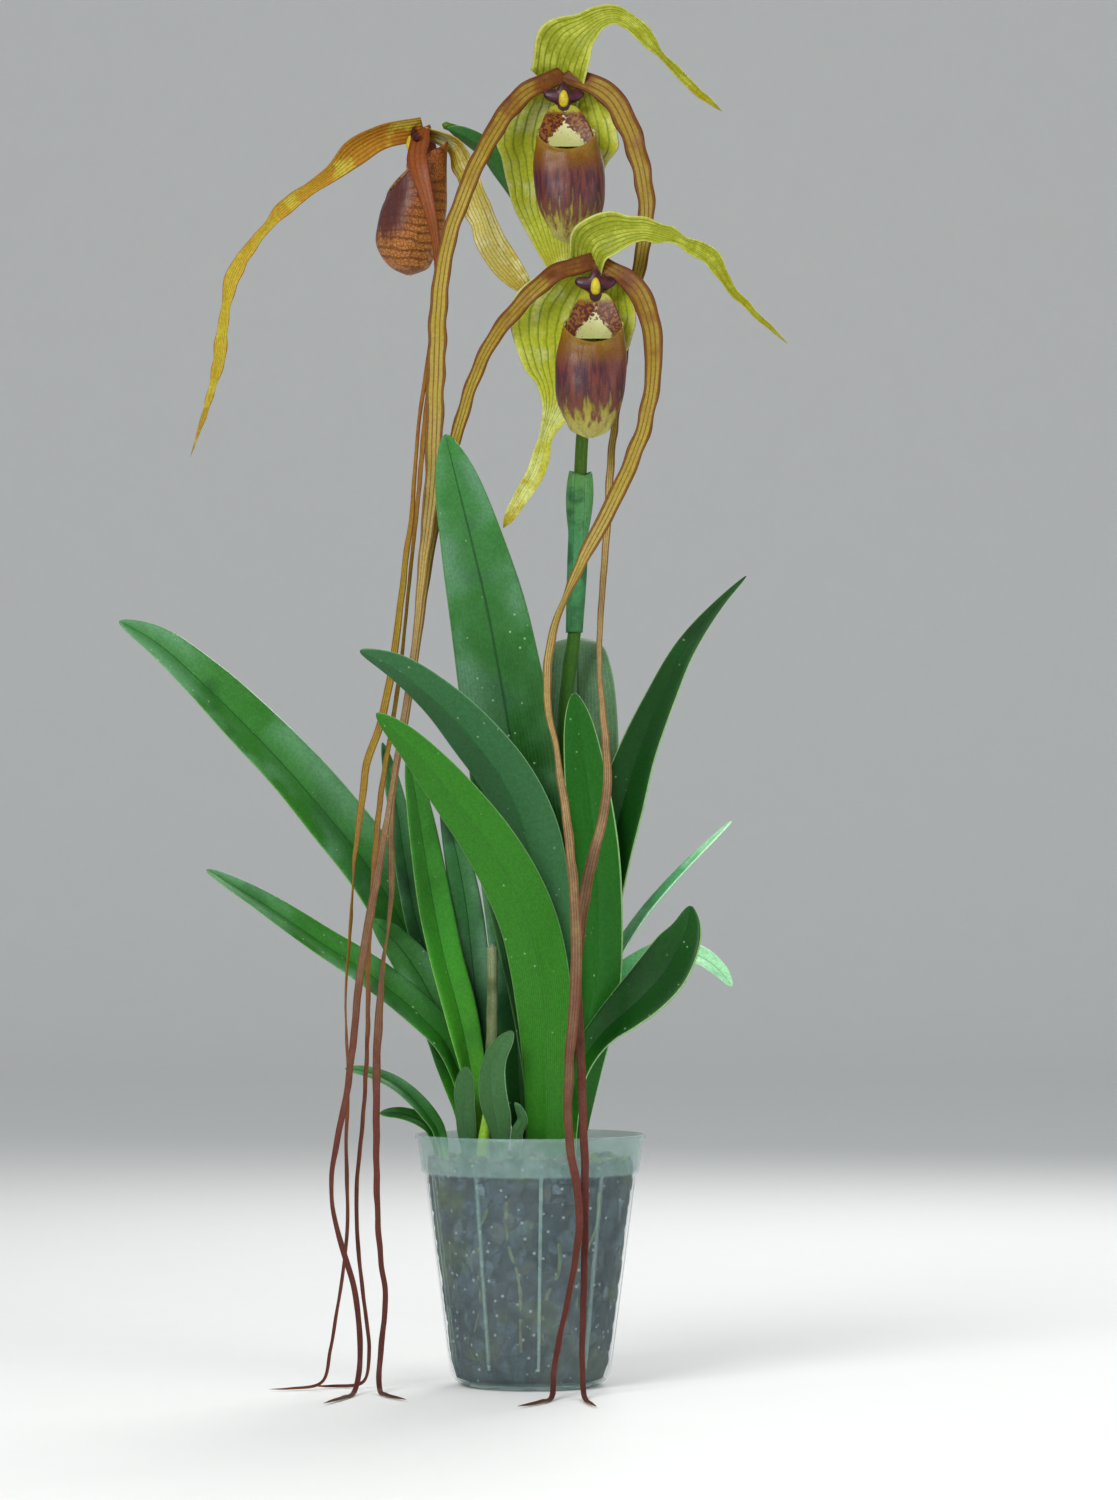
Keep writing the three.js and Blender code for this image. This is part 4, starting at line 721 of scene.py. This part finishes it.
bark_mix = mix_material()
bark_brown = plain("pine_bark", "#3a3226", "#5f5540", 6, (0.7, 0.9), 0.6)
moss_green = plain("moss", "#4f6a1e", "#8a9440", 4, (0.8, 0.95), 0.8)
floor_card = plain("pale_card", "#eeeeec", "#f0f0ee", 60, (0.6, 0.7), 0.002, (0.0, 1.0), (0.995, 1.005))

# ---------- Leaves ----------
# Which leaves get the deepest painted shade, a lesser painted shade, painted light as if lit through, or the young
# grey finish, and which have a finish of their own.
DEEP_SHADE = ("leaf_right_tall", "leaf_before_stem", "leaf_right_broad")
# How finely a blade is drawn across and along, and its shape: see drawn and blade.
LEAF = {"across": 25, "along": 130, "tip": 1.7, "ridge": 0.06, "wave": 0.05, "pitch": 90 * MM, "edge_power": 2.0,
        "roll": 0.05, "thick": 1.4, "keel": 1.3}
SHADED = ("leaf_arching_upper", "leaf_shaded", "leaf_left_inner", "leaf_left_rear")
LIT_THROUGH = ("leaf_right_narrow", "leaf_right_drooping")
GREY = ("young_leaf_curved", "young_leaf_left", "young_leaf_tiny")
OWN = {"leaf_tall": leaf_tall_with_painted_shade, "leaf_behind_stem": leaf_slate, "leaf_left_upright": leaf_painted_lighter}
for node in sorted(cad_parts):
    if node in GREY:
        blade(node, leaf_grey, 8, lowest, {**LEAF, "along": 60, "pitch": 25 * MM, "wave": 0.06})
    elif node.startswith("leaf_"):
        finish = leaf_dark if node in SHADED else leaf_painted_lit_through if node in LIT_THROUGH else leaf_green
        finish = leaf_deep_painted_shade if node in DEEP_SHADE else OWN.get(node, finish)
        wide = 1.3 if node == "leaf_behind_stem" else 1
        blade(node, finish, 8, lowest, {**LEAF, "girth": ((0, 1), (0.3, wide), (1, wide))})

# ---------- Stem, shoot, stalk and roots ----------
stem_line, stem_radius = spine_of("flower_stem", 8)
stem_share = lengthwise(stem_line)[0]


def stem_width(t):
    """The stem's own radius, with a slight swelling at each of its joints."""
    r = np.interp(t, stem_share, stem_radius)
    return r * (1 + 0.10 * sum(np.exp(-(((t - at) / 0.012) ** 2)) for at in (0.24, 0.53, 0.86)))


tube("flower_stem", stem_line, stem_width, stem_green, ["flower_stem"], samples=200, bumps=0.03)
for key in "abc":
    line, radius = spine_of(f"ovary_{key}", 8)
    share = lengthwise(line)[0]
    tube(f"ovary_{key}", line, lambda t: np.interp(t, share, radius), stem_green, [f"ovary_{key}"],
         samples=50, bumps=0.05)
for node, skin, samples, bumps in (("old_stalk", stalk_tan, 60, 0.08), ("shoot", shoot_green, 40, 0.05)):
    line, radius = spine_of(node, 8)
    even = np.linspace(0, 1, len(radius))
    tube(node, line, lambda t: np.interp(t, even, radius), skin, [node], samples=samples, bumps=bumps)

for key in "abc":
    blade(f"bract_{key}", bract_green, 8, lowest,
          {**LEAF, "across": 17, "along": 50, "tip": 1.2, "pitch": 30 * MM, "wave": 0.08, "thick": 0.9})


def make_sheath():
    """A sheath folded round the stem: a ring round the stem's middle line at each height. Its radius is 4.5 mm,
    a sine's bulge at half height, and two lobes that open over the last part, the mouth, whose edge dips
    between them. The wall is thin and goes up outside and down inside."""
    low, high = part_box("stem_sheath")
    t = np.linspace(0, 1, 60)
    z = low[2] + (high[2] - low[2]) * t
    line = np.stack([np.interp(z, stem_line[:, 2], stem_line[:, k]) for k in range(3)], 1)
    a = full_turn(48)
    mouth = np.clip((t - 0.62) / 0.38, 0, 1)[:, None]
    wave = np.cos(2 * (a[None] - 0.35))
    lobes = 0.5 + 0.5 * wave
    r = (4.5 + 0.9 * np.sin(np.pi * t[:, None]) + np.sin(mouth * 2.4) * (0.3 + 2.3 * lobes)) * MM
    top = (mouth**3) * (1.3 * wave - 1.3) * MM
    ring = turned(1.0, a, 0.0)
    outer = line[:, None] + ring[None] * r[..., None] + top[..., None] * UP
    inner = line[:, None] + ring[None] * (r - 0.6 * MM)[..., None] + top[..., None] * UP
    rings = np.concatenate([outer, inner[::-1]])
    count, size = rings.shape[:2]
    j, k = np.arange(size), np.arange(count)[:, None]
    after, above = (j + 1) % size, ((k + 1) % count) * size
    quads = np.stack([k * size + j, k * size + after, above + after, above + j], -1).reshape(-1, 4)
    share = np.concatenate([t, t[::-1]])
    grow = marks((count, size), 0.9 * np.sin(a), share[:, None], (k < count // 2) * 1.0)
    make("stem_sheath", rings.reshape(-1, 3), [quads], bract_green, ["stem_sheath"], grow)


make_sheath()

# ---------- Flowers ----------
DORSAL = {"across": 33, "along": 170, "tip": 1.1, "ridge": 0.9, "wave": 0.32, "pitch": 20 * MM, "edge_power": 2.2,
          "thick": 0.9, "veins": 7, "pucker": 0.2, "scallop": 0.22,
          "swell": lambda t: np.clip((t - 0.26) * 5, 0.03, 1)}
# How wide each sepal is drawn along its run, as a share of its frame node's width.
HOOD = {"a": ((0, 1.1), (0.06, 1.35), (0.16, 1.4), (0.26, 1.1), (0.38, 0.82), (0.5, 0.66), (0.65, 0.6), (1, 0.7)),
        "b": ((0, 1.2), (0.06, 1.5), (0.16, 1.5), (0.26, 1.2), (0.38, 0.9), (0.55, 0.85), (0.7, 0.7), (1, 0.7)),
        "c": ((0, 1.0), (0.15, 1.0), (0.28, 0.8), (0.45, 0.62), (0.6, 0.8), (0.72, 0.8), (1, 0.6))}
WAIST = {"a": ((0, 1.3), (0.06, 1.4), (0.14, 1.3), (0.25, 1.12), (0.4, 1), (1, 1)),
         "b": ((0, 1.3), (0.06, 1.45), (0.14, 1.3), (0.25, 1.1), (0.4, 1), (1, 1)),
         "c": ((0, 1.0), (0.3, 0.7), (0.42, 0.8), (0.6, 1.15), (0.75, 1.2), (1, 1))}
SYNSEPAL = {"scallop": 0.05, "across": 41, "along": 130, "tip": 1.1, "ridge": 0.9, "wave": 0.08, "pitch": 30 * MM,
            "edge_power": 2.6, "thick": 0.9, "veins": 13, "pucker": 0.2}
PETAL = {"scallop": 0.10, "across": 11, "along": 460, "tip": 1.2, "ridge": 0.8, "wave": 0.22, "pitch": 24 * MM,
         "edge_power": 2.0, "thick": 0.9, "veins": 5, "pucker": 0.12}
# Where a flower's sepals and petals meet, above and behind its column. How many of a blade's first rings are
# left out there is its drop, and its width at the meeting, as a share of the next ring's, is its neck.
JOIN = {"a": centre_of("column_a") + np.array([0, 7, 14.5]) * MM,
        "b": centre_of("column_b") + np.array([0, 7, 14.5]) * MM,
        "c": centre_of("column_c") + np.array([4, 3, 9]) * MM}
# A dorsal sepal starts left of, behind and below the meeting, and a synsepal behind and below it.
BEHIND = np.array([-5, 9, -8]) * MM
LOWER = np.array([0, 5, -4.0]) * MM
NECK = {"a": 1.25, "b": 1.4, "c": 1.0}
for key in "abc":
    gold = key == "c"
    look = {**DORSAL, "join": JOIN[key] + BEHIND * (0 if gold else 1), "neck": NECK[key], "drop": 1,
            "girth": HOOD[key]}
    blade(f"dorsal_sepal_{key}", dorsal_gold if gold else dorsal_yellow, 8,
          near(f"column_{key}"), look)
    look = {**SYNSEPAL, "join": JOIN[key] + LOWER * (0.3 if gold else 1), "neck": 0.5, "drop": 1,
            "girth": WAIST[key]}
    blade(f"synsepal_{key}", synsepal_gold if gold else synsepal_green, 8,
          near(f"column_{key}"), look)
# How wide each petal is drawn along its run, as a share of its frame node's width.
RUN = {"petal_a_left": ((0, 1.2), (0.04, 1.25), (0.1, 1.05), (0.16, 1.0), (0.22, 1.2), (0.33, 1.15), (0.38, 0.7),
                        (0.42, 0.5), (0.52, 0.55), (0.6, 1), (1, 1)),
       "petal_a_right": ((0, 1.3), (0.05, 1.5), (0.12, 1.1), (0.26, 0.65), (0.38, 0.5), (0.45, 0.42), (0.52, 0.9),
                         (0.6, 1.3), (1, 1)),
       "petal_b_left": ((0, 1.1), (0.04, 1.15), (0.12, 0.85), (0.25, 0.75), (0.38, 0.6), (0.5, 0.6), (0.6, 1.1),
                        (1, 1)),
       "petal_b_right": ((0, 1.2), (0.05, 1.4), (0.12, 1.0), (0.2, 1.0), (0.3, 0.9), (0.42, 0.45), (0.5, 0.9),
                         (0.6, 1.3), (1, 1)),
       "petal_c_front": ((0, 1.1), (0.025, 1.55), (0.05, 1.2), (0.08, 0.8), (0.12, 0.4), (0.25, 0.25), (0.31, 0.4),
                         (0.4, 0.55), (0.6, 0.9), (1, 1)),
       "petal_c_back": ((0, 1), (0.12, 0.4), (0.4, 0.25), (0.5, 0.5), (0.62, 1), (1, 1))}
# The left petal of the top flower arches a little nearer to the stem than its frame node.
ARCH = (0.1, 0.06, (5.0, 0, -0.5))
for node in sorted(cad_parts):
    if node.startswith("petal_"):
        key = node.split("_")[1]
        look = {**PETAL, "join": JOIN[key], "neck": 1.0, "drop": 1, "girth": RUN[node]}
        if node == "petal_a_left":
            look["sway"] = ARCH
        blade(node, petal_gold if key == "c" else petal_brown, 4, near(f"column_{key}"), look)


POUCH_TURNS = 96         # points round a pouch; its sides are a quarter and three quarters of the way round
TOE_WIDER, TOE_LOWER = 1.16, 0.6 * MM
LIP_ROLL = 0.9 * MM


def make_pouch(key, face, material):
    """The pouch: the node's outer rings carried smoothly round and up, with a thin wall. Round each ring the
    points follow a sum of sines and cosines through the node's twelve; across the toe the run goes on up the
    other side, and the lowest ring is widened to round it. Low sines dent the wall, the lip rolls outwards and
    rises at its sides by a squared share of the last part, and the inner face is the outer one moved in.
    It gives the lip, which the throat meets."""
    node = f"pouch_{key}"
    toe, rings, _ = rings_of(node, 12, lowest)
    rings = rings[:6]
    forward = rings - rings.mean(1, keepdims=True)
    rings = np.roll(rings, -int(np.argmax((forward[2] * face).sum(1))), axis=1)
    side = np.cross(UP, face)
    if (rings[2, 3] - rings[2, 9]) @ side < 0:
        rings = np.roll(rings[:, ::-1], 1, axis=1)
    turns = POUCH_TURNS
    a = full_turn(turns)
    waved = np.fft.rfft(rings, axis=1)
    full = np.zeros((len(rings), turns // 2 + 1, 3), complex)
    full[:, :6] = waved[:, :6]
    full[:, 6] = waved[:, 6] / 2
    round_ones = np.fft.irfft(full, turns, axis=1) * (turns / 12)
    heart = round_ones[0].mean(0)
    round_ones[0] = heart + (round_ones[0] - heart) * TOE_WIDER - UP * TOE_LOWER
    beyond = np.roll(round_ones[0], turns // 2, axis=0)
    knots, _ = lengthwise(np.concatenate([toe[None], rings[:, 0]]))
    knots = np.concatenate([[-knots[1]], knots])
    stack = np.concatenate([beyond[None], np.broadcast_to(toe, (1, turns, 3)), round_ones])
    rows = 60
    v = np.linspace(0, 1, rows + 1)[1:]
    outer = flow(knots, stack.reshape(len(knots), -1), v).reshape(rows, turns, 3)
    middle = outer.mean(1, keepdims=True)
    rng = chance(node)
    dents = sum(np.sin(n * a[None] + rng.uniform(0, 6)) * np.sin(v[:, None] * rng.uniform(3, 8) + rng.uniform(0, 6))
                for n in (3, 5, 8)) * 0.25 * MM
    out = unit(np.cross(np.roll(outer, -1, 1) - np.roll(outer, 1, 1), np.gradient(outer, axis=0)))
    if np.sum(out * (outer - middle)) < 0:
        out = -out
    roll = np.clip((v - 0.9) / 0.1, 0, 1)[:, None] ** 2
    outer = outer + out * ((dents * (v[:, None] < 0.97)) + roll * LIP_ROLL)[..., None]
    mouth = np.clip((v - 0.7) / 0.3, 0, 1)[:, None] ** 2
    sides = np.cos(2 * a[None]) * (np.cos(a[None]) > -0.7)
    outer = outer + UP * (mouth * (1.0 - 2.5 * sides) * MM)[..., None]
    wall = 0.8 * MM
    inner = outer - out * wall
    both = np.concatenate([outer, inner[::-1]])
    points, faces = loft(both, toe, toe + UP * wall * 1.5)
    turn = np.abs((a + np.pi) % (2 * np.pi) - np.pi) / np.pi
    height = np.concatenate([v, v[::-1]])[:, None]
    outside = (np.arange(2 * rows) < rows)[:, None] * 1.0
    grow = np.concatenate([marks(both.shape[:2], height, turn, outside), [[0, 0.5, 1], [0, 0.5, 0]]])
    make(node, points, faces, material, [node], grow)
    return outer[-1]


def make_throat(key, face, lip, material):
    """The throat behind the lip: a shield from low inside the mouth to the column's foot. Its half width is the
    mouth's reach times a root of the share left to the top, and a little more; its sides roll forward by a power
    of the share across times a sine of the share up."""
    side = np.cross(UP, face)
    one, other = lip[POUCH_TURNS // 4], lip[POUCH_TURNS * 3 // 4]
    mid = (one + other) / 2
    reach = np.linalg.norm(one - other) / 2
    top = centre_of(f"column_{key}") - UP * 3 * MM - face * 1 * MM
    low = mid - UP * 9 * MM - face * 1 * MM
    u, t = spread(31), np.linspace(0, 1, 40)[:-1]
    half = reach * (0.91 * (1 - t) ** 0.42 + 0.16)
    line = low + (top - low) * t[:, None]
    forward = (3.2 * np.abs(u[None]) ** 1.5 * np.sin(np.pi * (0.15 + 0.8 * t[:, None])) + 1.5 * t[:, None]) * MM
    grid = line[:, None] + side * (half[:, None] * u[None])[..., None] + face * forward[..., None]
    wall = 0.4 * MM * np.sqrt(1 - np.abs(u[None]) ** 8) * np.ones((len(t), 1))
    points, faces, grow = walled(grid, wall, wall, u, t, top + face * 1.5 * MM)
    make(f"pouch_{key}_throat", points, faces, material, [f"pouch_{key}"], grow)


def ball_of(rows, sides):
    """Rings of points round a ball of radius 1, without its poles: rings of the cosine of the latitude."""
    lat = np.linspace(-np.pi / 2, np.pi / 2, rows + 2)[1:-1, None]
    return turned(np.cos(lat), full_turn(sides), np.sin(lat))


def egg(middle, axes, pinch):
    """A ball's points times three half axes, drawn in towards its top by pinch."""
    ball = ball_of(12, 24)
    ball[..., :2] *= (1 - pinch * (ball[..., 2:] + 1) / 2)
    return loft(middle + ball @ axes, middle - axes[2], middle + axes[2])


def joined(parts):
    """Several point and face sets as one."""
    points, quads, tris, base = [], [], [], 0
    for cloud, (four, three) in parts:
        points.append(cloud)
        quads.append(four + base)
        tris.append(three + base)
        base += len(cloud)
    return np.concatenate(points), [np.concatenate(quads), np.concatenate(tris)]


# The points of a column's plate: where each is round the rim, how far it reaches in mm and how wide it is.
POINTS = ((0.3, 6.6, 0.5), (np.pi - 0.3, 6.6, 0.5), (1.57, 4.8, 0.4), (-1.57, 5.0, 0.5))


def make_column(key, face):
    """The column: a dark plate whose rim is a circle with four bell-shaped points, two long arms a little above
    level, a crest and a chin. Its front is a dome, a root of one less the squared share out, with six dimples,
    and its back is nearly flat. A yellow knob sits on it."""
    node = f"column_{key}"
    side = np.cross(UP, face)
    at = centre_of(node) + face * 0.5 * MM
    a = full_turn(72)
    rim = np.full(len(a), 4.6)
    for toward, reach, wide in POINTS:
        off = (a - toward + np.pi) % (2 * np.pi) - np.pi
        rim = rim + reach * np.exp(-((off / wide) ** 2))
    before, behind = 14, 10
    share = np.concatenate([np.linspace(0.08, 1, before), np.linspace(1, 0.08, behind)])
    front = (np.arange(len(share)) < before)[:, None]
    dome = 2.6 * np.sqrt(np.clip(1 - share[:, None] ** 2, 0, 1)) + 0.5 * np.cos(6 * a)[None] * share[:, None] ** 2
    depth = np.where(front, dome, -1.0 * (1 - share[:, None] ** 4)) * MM
    flat = (side * (rim * np.cos(a))[:, None] + UP * (rim * np.sin(a))[:, None]) * MM
    rings = at + flat[None] * share[:, None, None] + face * depth[..., None]
    points, faces = loft(rings, at + face * 2.6 * MM, at - face * 1.0 * MM)
    make(f"{node}_shield", points, faces, column_maroon, [node])
    axes = np.stack([side * 2.9, face * 2.4, UP * 4.6]) * MM
    points, faces = egg(at + (face * 2.2 - UP * 0.2) * MM, axes, 0.25)
    make(f"{node}_knob", points, faces, column_yellow, [node])


for key, face, cup, throat in (("a", FRONT, purple_cup, throat_tissue), ("b", FRONT, purple_cup, throat_tissue),
                               ("c", LEFT_FACING, netted_cup, throat_tan)):
    lip = make_pouch(key, face, cup)
    make_throat(key, face, lip, throat)
    make_column(key, face)

# ---------- Pot, mix and roots ----------
RIM, _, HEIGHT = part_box("pot")[1]
SHOULDER, BASE, CORNER, WALL = RIM - 4 * MM, RIM - 18 * MM, 11 * MM, 1.2 * MM
LEDGE = HEIGHT - 20 * MM
RIBS, FIRST_RIB, RIB_RISE = 10, 0.33, 0.7 * MM
HOLES, HOLE_RING, HOLE_RADIUS, HOLE_DEPTH = 8, 26 * MM, 3.5 * MM, 3 * MM


def wall_radius(z):
    """The pot's outer radius below its ledge, straight from the rounded base corner to the ledge."""
    share = np.clip((z - CORNER) / (LEDGE - CORNER), 0, 1)
    return BASE + (SHOULDER - 1 * MM - BASE) * share


def from_rib(angle):
    """The angle from the nearest rib."""
    off = (angle * RIBS / (2 * np.pi) + FIRST_RIB) % 1.0
    return np.minimum(off, 1 - off) * 2 * np.pi / RIBS


def ribbed(rows, around):
    """Rings turned from (radius, height, rib share) rows: each rib is a bell raised by its row's share."""
    a = full_turn(around)
    r, z, rib = (np.array(column)[:, None] for column in zip(*rows))
    raised = RIB_RISE * rib * np.exp(-((from_rib(a)[None] * r / (0.9 * MM)) ** 2))
    return turned(r + raised, a, z)


def make_pot():
    """The pot: a thin turned wall with a rolled rim, a plain collar, a ledge, upright ribs and a rounded base,
    less eight drain holes."""
    bend = np.radians(np.linspace(0, 90, 9))
    corner = [(BASE - CORNER + CORNER * np.sin(b), CORNER - CORNER * np.cos(b), 0) for b in bend]
    flank = []
    for share in np.linspace(0.06, 1, 22):
        z = CORNER + (LEDGE - CORNER - 1.5 * MM) * share
        flank.append((wall_radius(z), z, float(share < 0.99)))
    collar = [(SHOULDER, LEDGE, 0), (SHOULDER + 0.3 * MM, LEDGE + 1 * MM, 0), (RIM - 1.6 * MM, HEIGHT - 3 * MM, 0),
              (RIM - 0.4 * MM, HEIGHT - 2.2 * MM, 0), (RIM, HEIGHT - 1.2 * MM, 0),
              (RIM - 0.4 * MM, HEIGHT - 0.2 * MM, 0), (RIM - 1.0 * MM, HEIGHT, 0),
              (RIM - 1.7 * MM, HEIGHT - 0.3 * MM, 0)]
    inside = [(RIM - 2.9 * MM, HEIGHT - 3 * MM, 0), (SHOULDER - WALL + 0.3 * MM, LEDGE + 1.5 * MM, 0),
              (SHOULDER - WALL - 1 * MM, LEDGE - 1 * MM, 0)]
    inside += [(wall_radius(z) - WALL, z, 0) for z in np.linspace(LEDGE - 4 * MM, CORNER + 1 * MM, 10)]
    inner = CORNER - WALL
    inside += [(BASE - CORNER + inner * np.sin(b), CORNER - inner * np.cos(b), 0) for b in bend[::-1]]
    rows = [(8 * MM, 0, 0), *corner, *flank, *collar, *inside, (8 * MM, WALL, 0)]
    points, faces = loft(ribbed(rows, 360), np.zeros(3), np.array([0, 0, WALL]))
    pot = make("pot", points, faces, pot_plastic, ["pot"])
    pot.data.materials.append(collar_plastic)
    count = len(pot.data.polygons)
    middles = np.empty(count * 3)
    pot.data.polygons.foreach_get("center", middles)
    x, y, z = middles.reshape(-1, 3).T
    off = from_rib(np.arctan2(y, x)) * np.hypot(x, y)
    milky = (z > LEDGE - 0.5 * MM) | ((off < 0.8 * MM) & (z > CORNER)) | (z < 4 * MM)
    pot.data.polygons.foreach_set("material_index", milky.astype(np.int32))
    cuts = []
    for k in range(HOLES):
        centre = turned(HOLE_RING, 2 * np.pi * k / HOLES, 0.0)
        circle = centre + turned(HOLE_RADIUS, full_turn(24), 0.0)
        deep = UP * HOLE_DEPTH
        cuts.append(loft(np.stack([circle - deep, circle + deep]), centre - deep, centre + deep))
    points, (quads, tris) = joined(cuts)
    mesh = bpy.data.meshes.new("drill")
    mesh.from_pydata(points.tolist(), [], quads.tolist() + tris.tolist())
    drill = bpy.data.objects.new("drill", mesh)
    bpy.context.scene.collection.objects.link(drill)
    cut = pot.modifiers.new("drain_holes", "BOOLEAN")
    cut.operation, cut.object, cut.solver = "DIFFERENCE", drill, "EXACT"
    done = bpy.data.meshes.new_from_object(pot.evaluated_get(bpy.context.evaluated_depsgraph_get()))
    pot.modifiers.clear()
    pot.data = done
    bpy.data.objects.remove(drill)


make_pot()


SIDE_LUMPS, TOP_LUMPS = 620, 260


def make_mix():
    """The mix: a turned form whose side and top are pressed into lumps. Each point sinks towards the seams
    between its nearest lump centre and the next, and each lump has its own height and shade. It gives the
    height of its top."""
    rng = chance("potting_mix")
    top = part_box("potting_mix")[1][2]
    side = [(wall_radius(z) - WALL - 0.2 * MM, z) for z in np.linspace(12 * MM, top - 1 * MM, 70)]
    cap = [(side[-1][0] * s, top + 4 * MM * s**6) for s in np.linspace(0.985, 0.03, 44)]
    foot = [(BASE - CORNER, 1.8 * MM), (BASE - 4 * MM, 4.5 * MM)]
    rows = np.array(foot + side + cap)
    around = 300
    rings = turned(rows[:, :1], full_turn(around), rows[:, 1:])
    flat = rings.reshape(-1, 3)
    turn = rng.uniform(0, 2 * np.pi, SIDE_LUMPS)
    level = rng.uniform(5 * MM, top, SIDE_LUMPS)
    walls = turned(wall_radius(level), turn, level)
    disc = np.sqrt(rng.uniform(0, 1, TOP_LUMPS)) * side[-1][0]
    lids = turned(disc, rng.uniform(0, 2 * np.pi, TOP_LUMPS), top)
    seeds = np.concatenate([walls, lids])
    first = np.empty(len(flat))
    second = np.empty(len(flat))
    which = np.empty(len(flat), int)
    for part in np.array_split(np.arange(len(flat)), 12):
        gaps = np.linalg.norm(flat[part, None] - seeds[None], axis=2)
        order = np.argpartition(gaps, 1, axis=1)[:, :2]
        pair = np.take_along_axis(gaps, order, axis=1)
        first[part], second[part] = pair.min(1), pair.max(1)
        which[part] = order[np.arange(len(part)), pair.argmin(1)]
    seam = np.clip((second - first) / (3.2 * MM), 0, 1)
    lump = rng.uniform(0, 1, len(seeds))[which]
    sink = (1 - seam**0.9) * 0.9 * MM + (1 - lump) * 0.5 * MM
    on_top = np.repeat(np.arange(len(rows)) >= len(foot) + len(side), around)
    outward = np.stack([flat[:, 0], flat[:, 1], np.zeros(len(flat))], 1)
    outward = np.where(on_top[:, None], UP, unit(outward))
    lift = np.where(on_top, lump * 3.5 * MM + waves(flat[:, 0] / (60 * MM), 1.0, rng) * 1.5 * MM, 0)
    flat = flat + outward * (lift - sink)[:, None]
    rings = flat.reshape(rings.shape)
    points, faces = loft(rings, np.array([0, 0, 2.2 * MM]), np.array([0, 0, top]))
    grow = np.concatenate([np.stack([lump, seam, np.zeros_like(seam)], 1), [[0, 1, 0], [0, 1, 0]]])
    make("potting_mix", points, faces, bark_mix, ["potting_mix"], grow)
    return top


mix_top = make_mix()


def chips(name, count, size, flatness, material, band):
    """Loose chips on the mix, at random over a ring band of shares of its radius: each is a small ball of a
    random size in mm with its points pushed in and out, squashed by flatness and turned."""
    rng = chance(name)
    ball = ball_of(3, 7)
    parts = []
    for _ in range(count):
        reach = rng.uniform(*band) * (SHOULDER - 5 * MM)
        turn = rng.uniform(0, 2 * np.pi)
        big = rng.uniform(*size) * MM
        spin = np.linalg.qr(rng.normal(size=(3, 3)))[0]
        lean = unit(UP + 0.5 * rng.normal(size=3))
        side = unit(np.cross(lean, spin[0]))
        axes = np.stack([side * big, np.cross(lean, side) * big * rng.uniform(0.5, 0.9), lean * big * flatness])
        bumpy = ball * rng.uniform(0.75, 1.2, ball.shape[:2])[..., None]
        middle = turned(reach, turn, mix_top + rng.uniform(1, 4) * MM)
        parts.append(loft(middle + bumpy @ axes, middle - axes[2], middle + axes[2]))
    points, faces = joined(parts)
    make(name, points, faces, material)


chips("bark_chips", 90, (3.5, 7.5), 0.45, bark_brown, (0.35, 0.93))
chips("moss_tufts", 130, (2.0, 4.5), 0.6, moss_green, (0.55, 0.97))

for k in range(1, 7):
    node = f"root_{k}"
    points, _ = skin_of(node)
    downwards = points[np.argsort(-points[:, 2])]
    line = np.array([group.mean(0) for group in np.array_split(downwards, 8)])
    tube(node, line, lambda t: (1.3 - 0.35 * t) * MM, root_skin, [node], sides=12, samples=60, bumps=0.15)

# ---------- Floor, light and camera ----------
scene = bpy.context.scene


def make_floor():
    """A floor that bends up far behind into a backdrop: a section of a flat run, a quarter circle and a wall."""
    bend = np.radians(np.linspace(0, 90, 16))
    front, reach, radius, tall, half_width = -6.0, 4.6, 1.4, 5.0, 8.0
    section = [(front, 0.0), *[(reach + radius * np.sin(b), radius - radius * np.cos(b)) for b in bend]]
    section.append((reach + radius, tall))
    points = np.array([(x, y, z) for y, z in section for x in (-half_width, half_width)])
    k = np.arange(len(section) - 1) * 2
    mesh = bpy.data.meshes.new("floor")
    mesh.from_pydata(points.tolist(), [], np.stack([k, k + 1, k + 3, k + 2], 1).tolist())
    mesh.polygons.foreach_set("use_smooth", np.ones(len(k), bool))
    mesh.materials.append(floor_card)
    sheet = bpy.data.objects.new("floor", mesh)
    scene.collection.objects.link(sheet)
    return sheet


floor = make_floor()

world = bpy.data.worlds.new("studio")
scene.world = world
world.use_nodes = True
sky = world.node_tree.nodes["Background"]
sky.inputs["Color"].default_value = colour("#dfe3e6")
sky.inputs["Strength"].default_value = 0.55

# Three square lamps aimed at the middle of the plant: where each is, its size in metres and its watts.
TARGET = Vector((0.0, 0.0, 0.36))
LAMPS = (("key", (-0.9, -1.6, 1.5), 0.9, 34), ("fill", (1.5, -1.3, 0.9), 1.2, 12),
         ("back", (0.5, 1.4, 1.4), 0.9, 16))
for name, place, size, power in LAMPS:
    lamp = bpy.data.lights.new(name, "AREA")
    lamp.size, lamp.energy = size, power
    light = bpy.data.objects.new(name, lamp)
    light.location = place
    light.rotation_euler = (TARGET - Vector(place)).to_track_quat("-Z", "Y").to_euler()
    scene.collection.objects.link(light)

# The camera stands 2.5 m in front of the plant, a third of the way up it, and looks up a little.
EYE, AIM, LENS, SENSOR = Vector((0.0148, -2.5, 0.25)), Vector((0.0148, -0.040, 0.333)), 113.55, 36
camera_data = bpy.data.cameras.new("camera")
camera = bpy.data.objects.new("camera", camera_data)
scene.collection.objects.link(camera)
camera.location = EYE
camera.rotation_euler = (AIM - EYE).to_track_quat("-Z", "Y").to_euler()
camera_data.sensor_fit = "VERTICAL"
camera_data.sensor_height = SENSOR
camera_data.lens = LENS
scene.camera = camera
scene.view_settings.view_transform = "Standard"
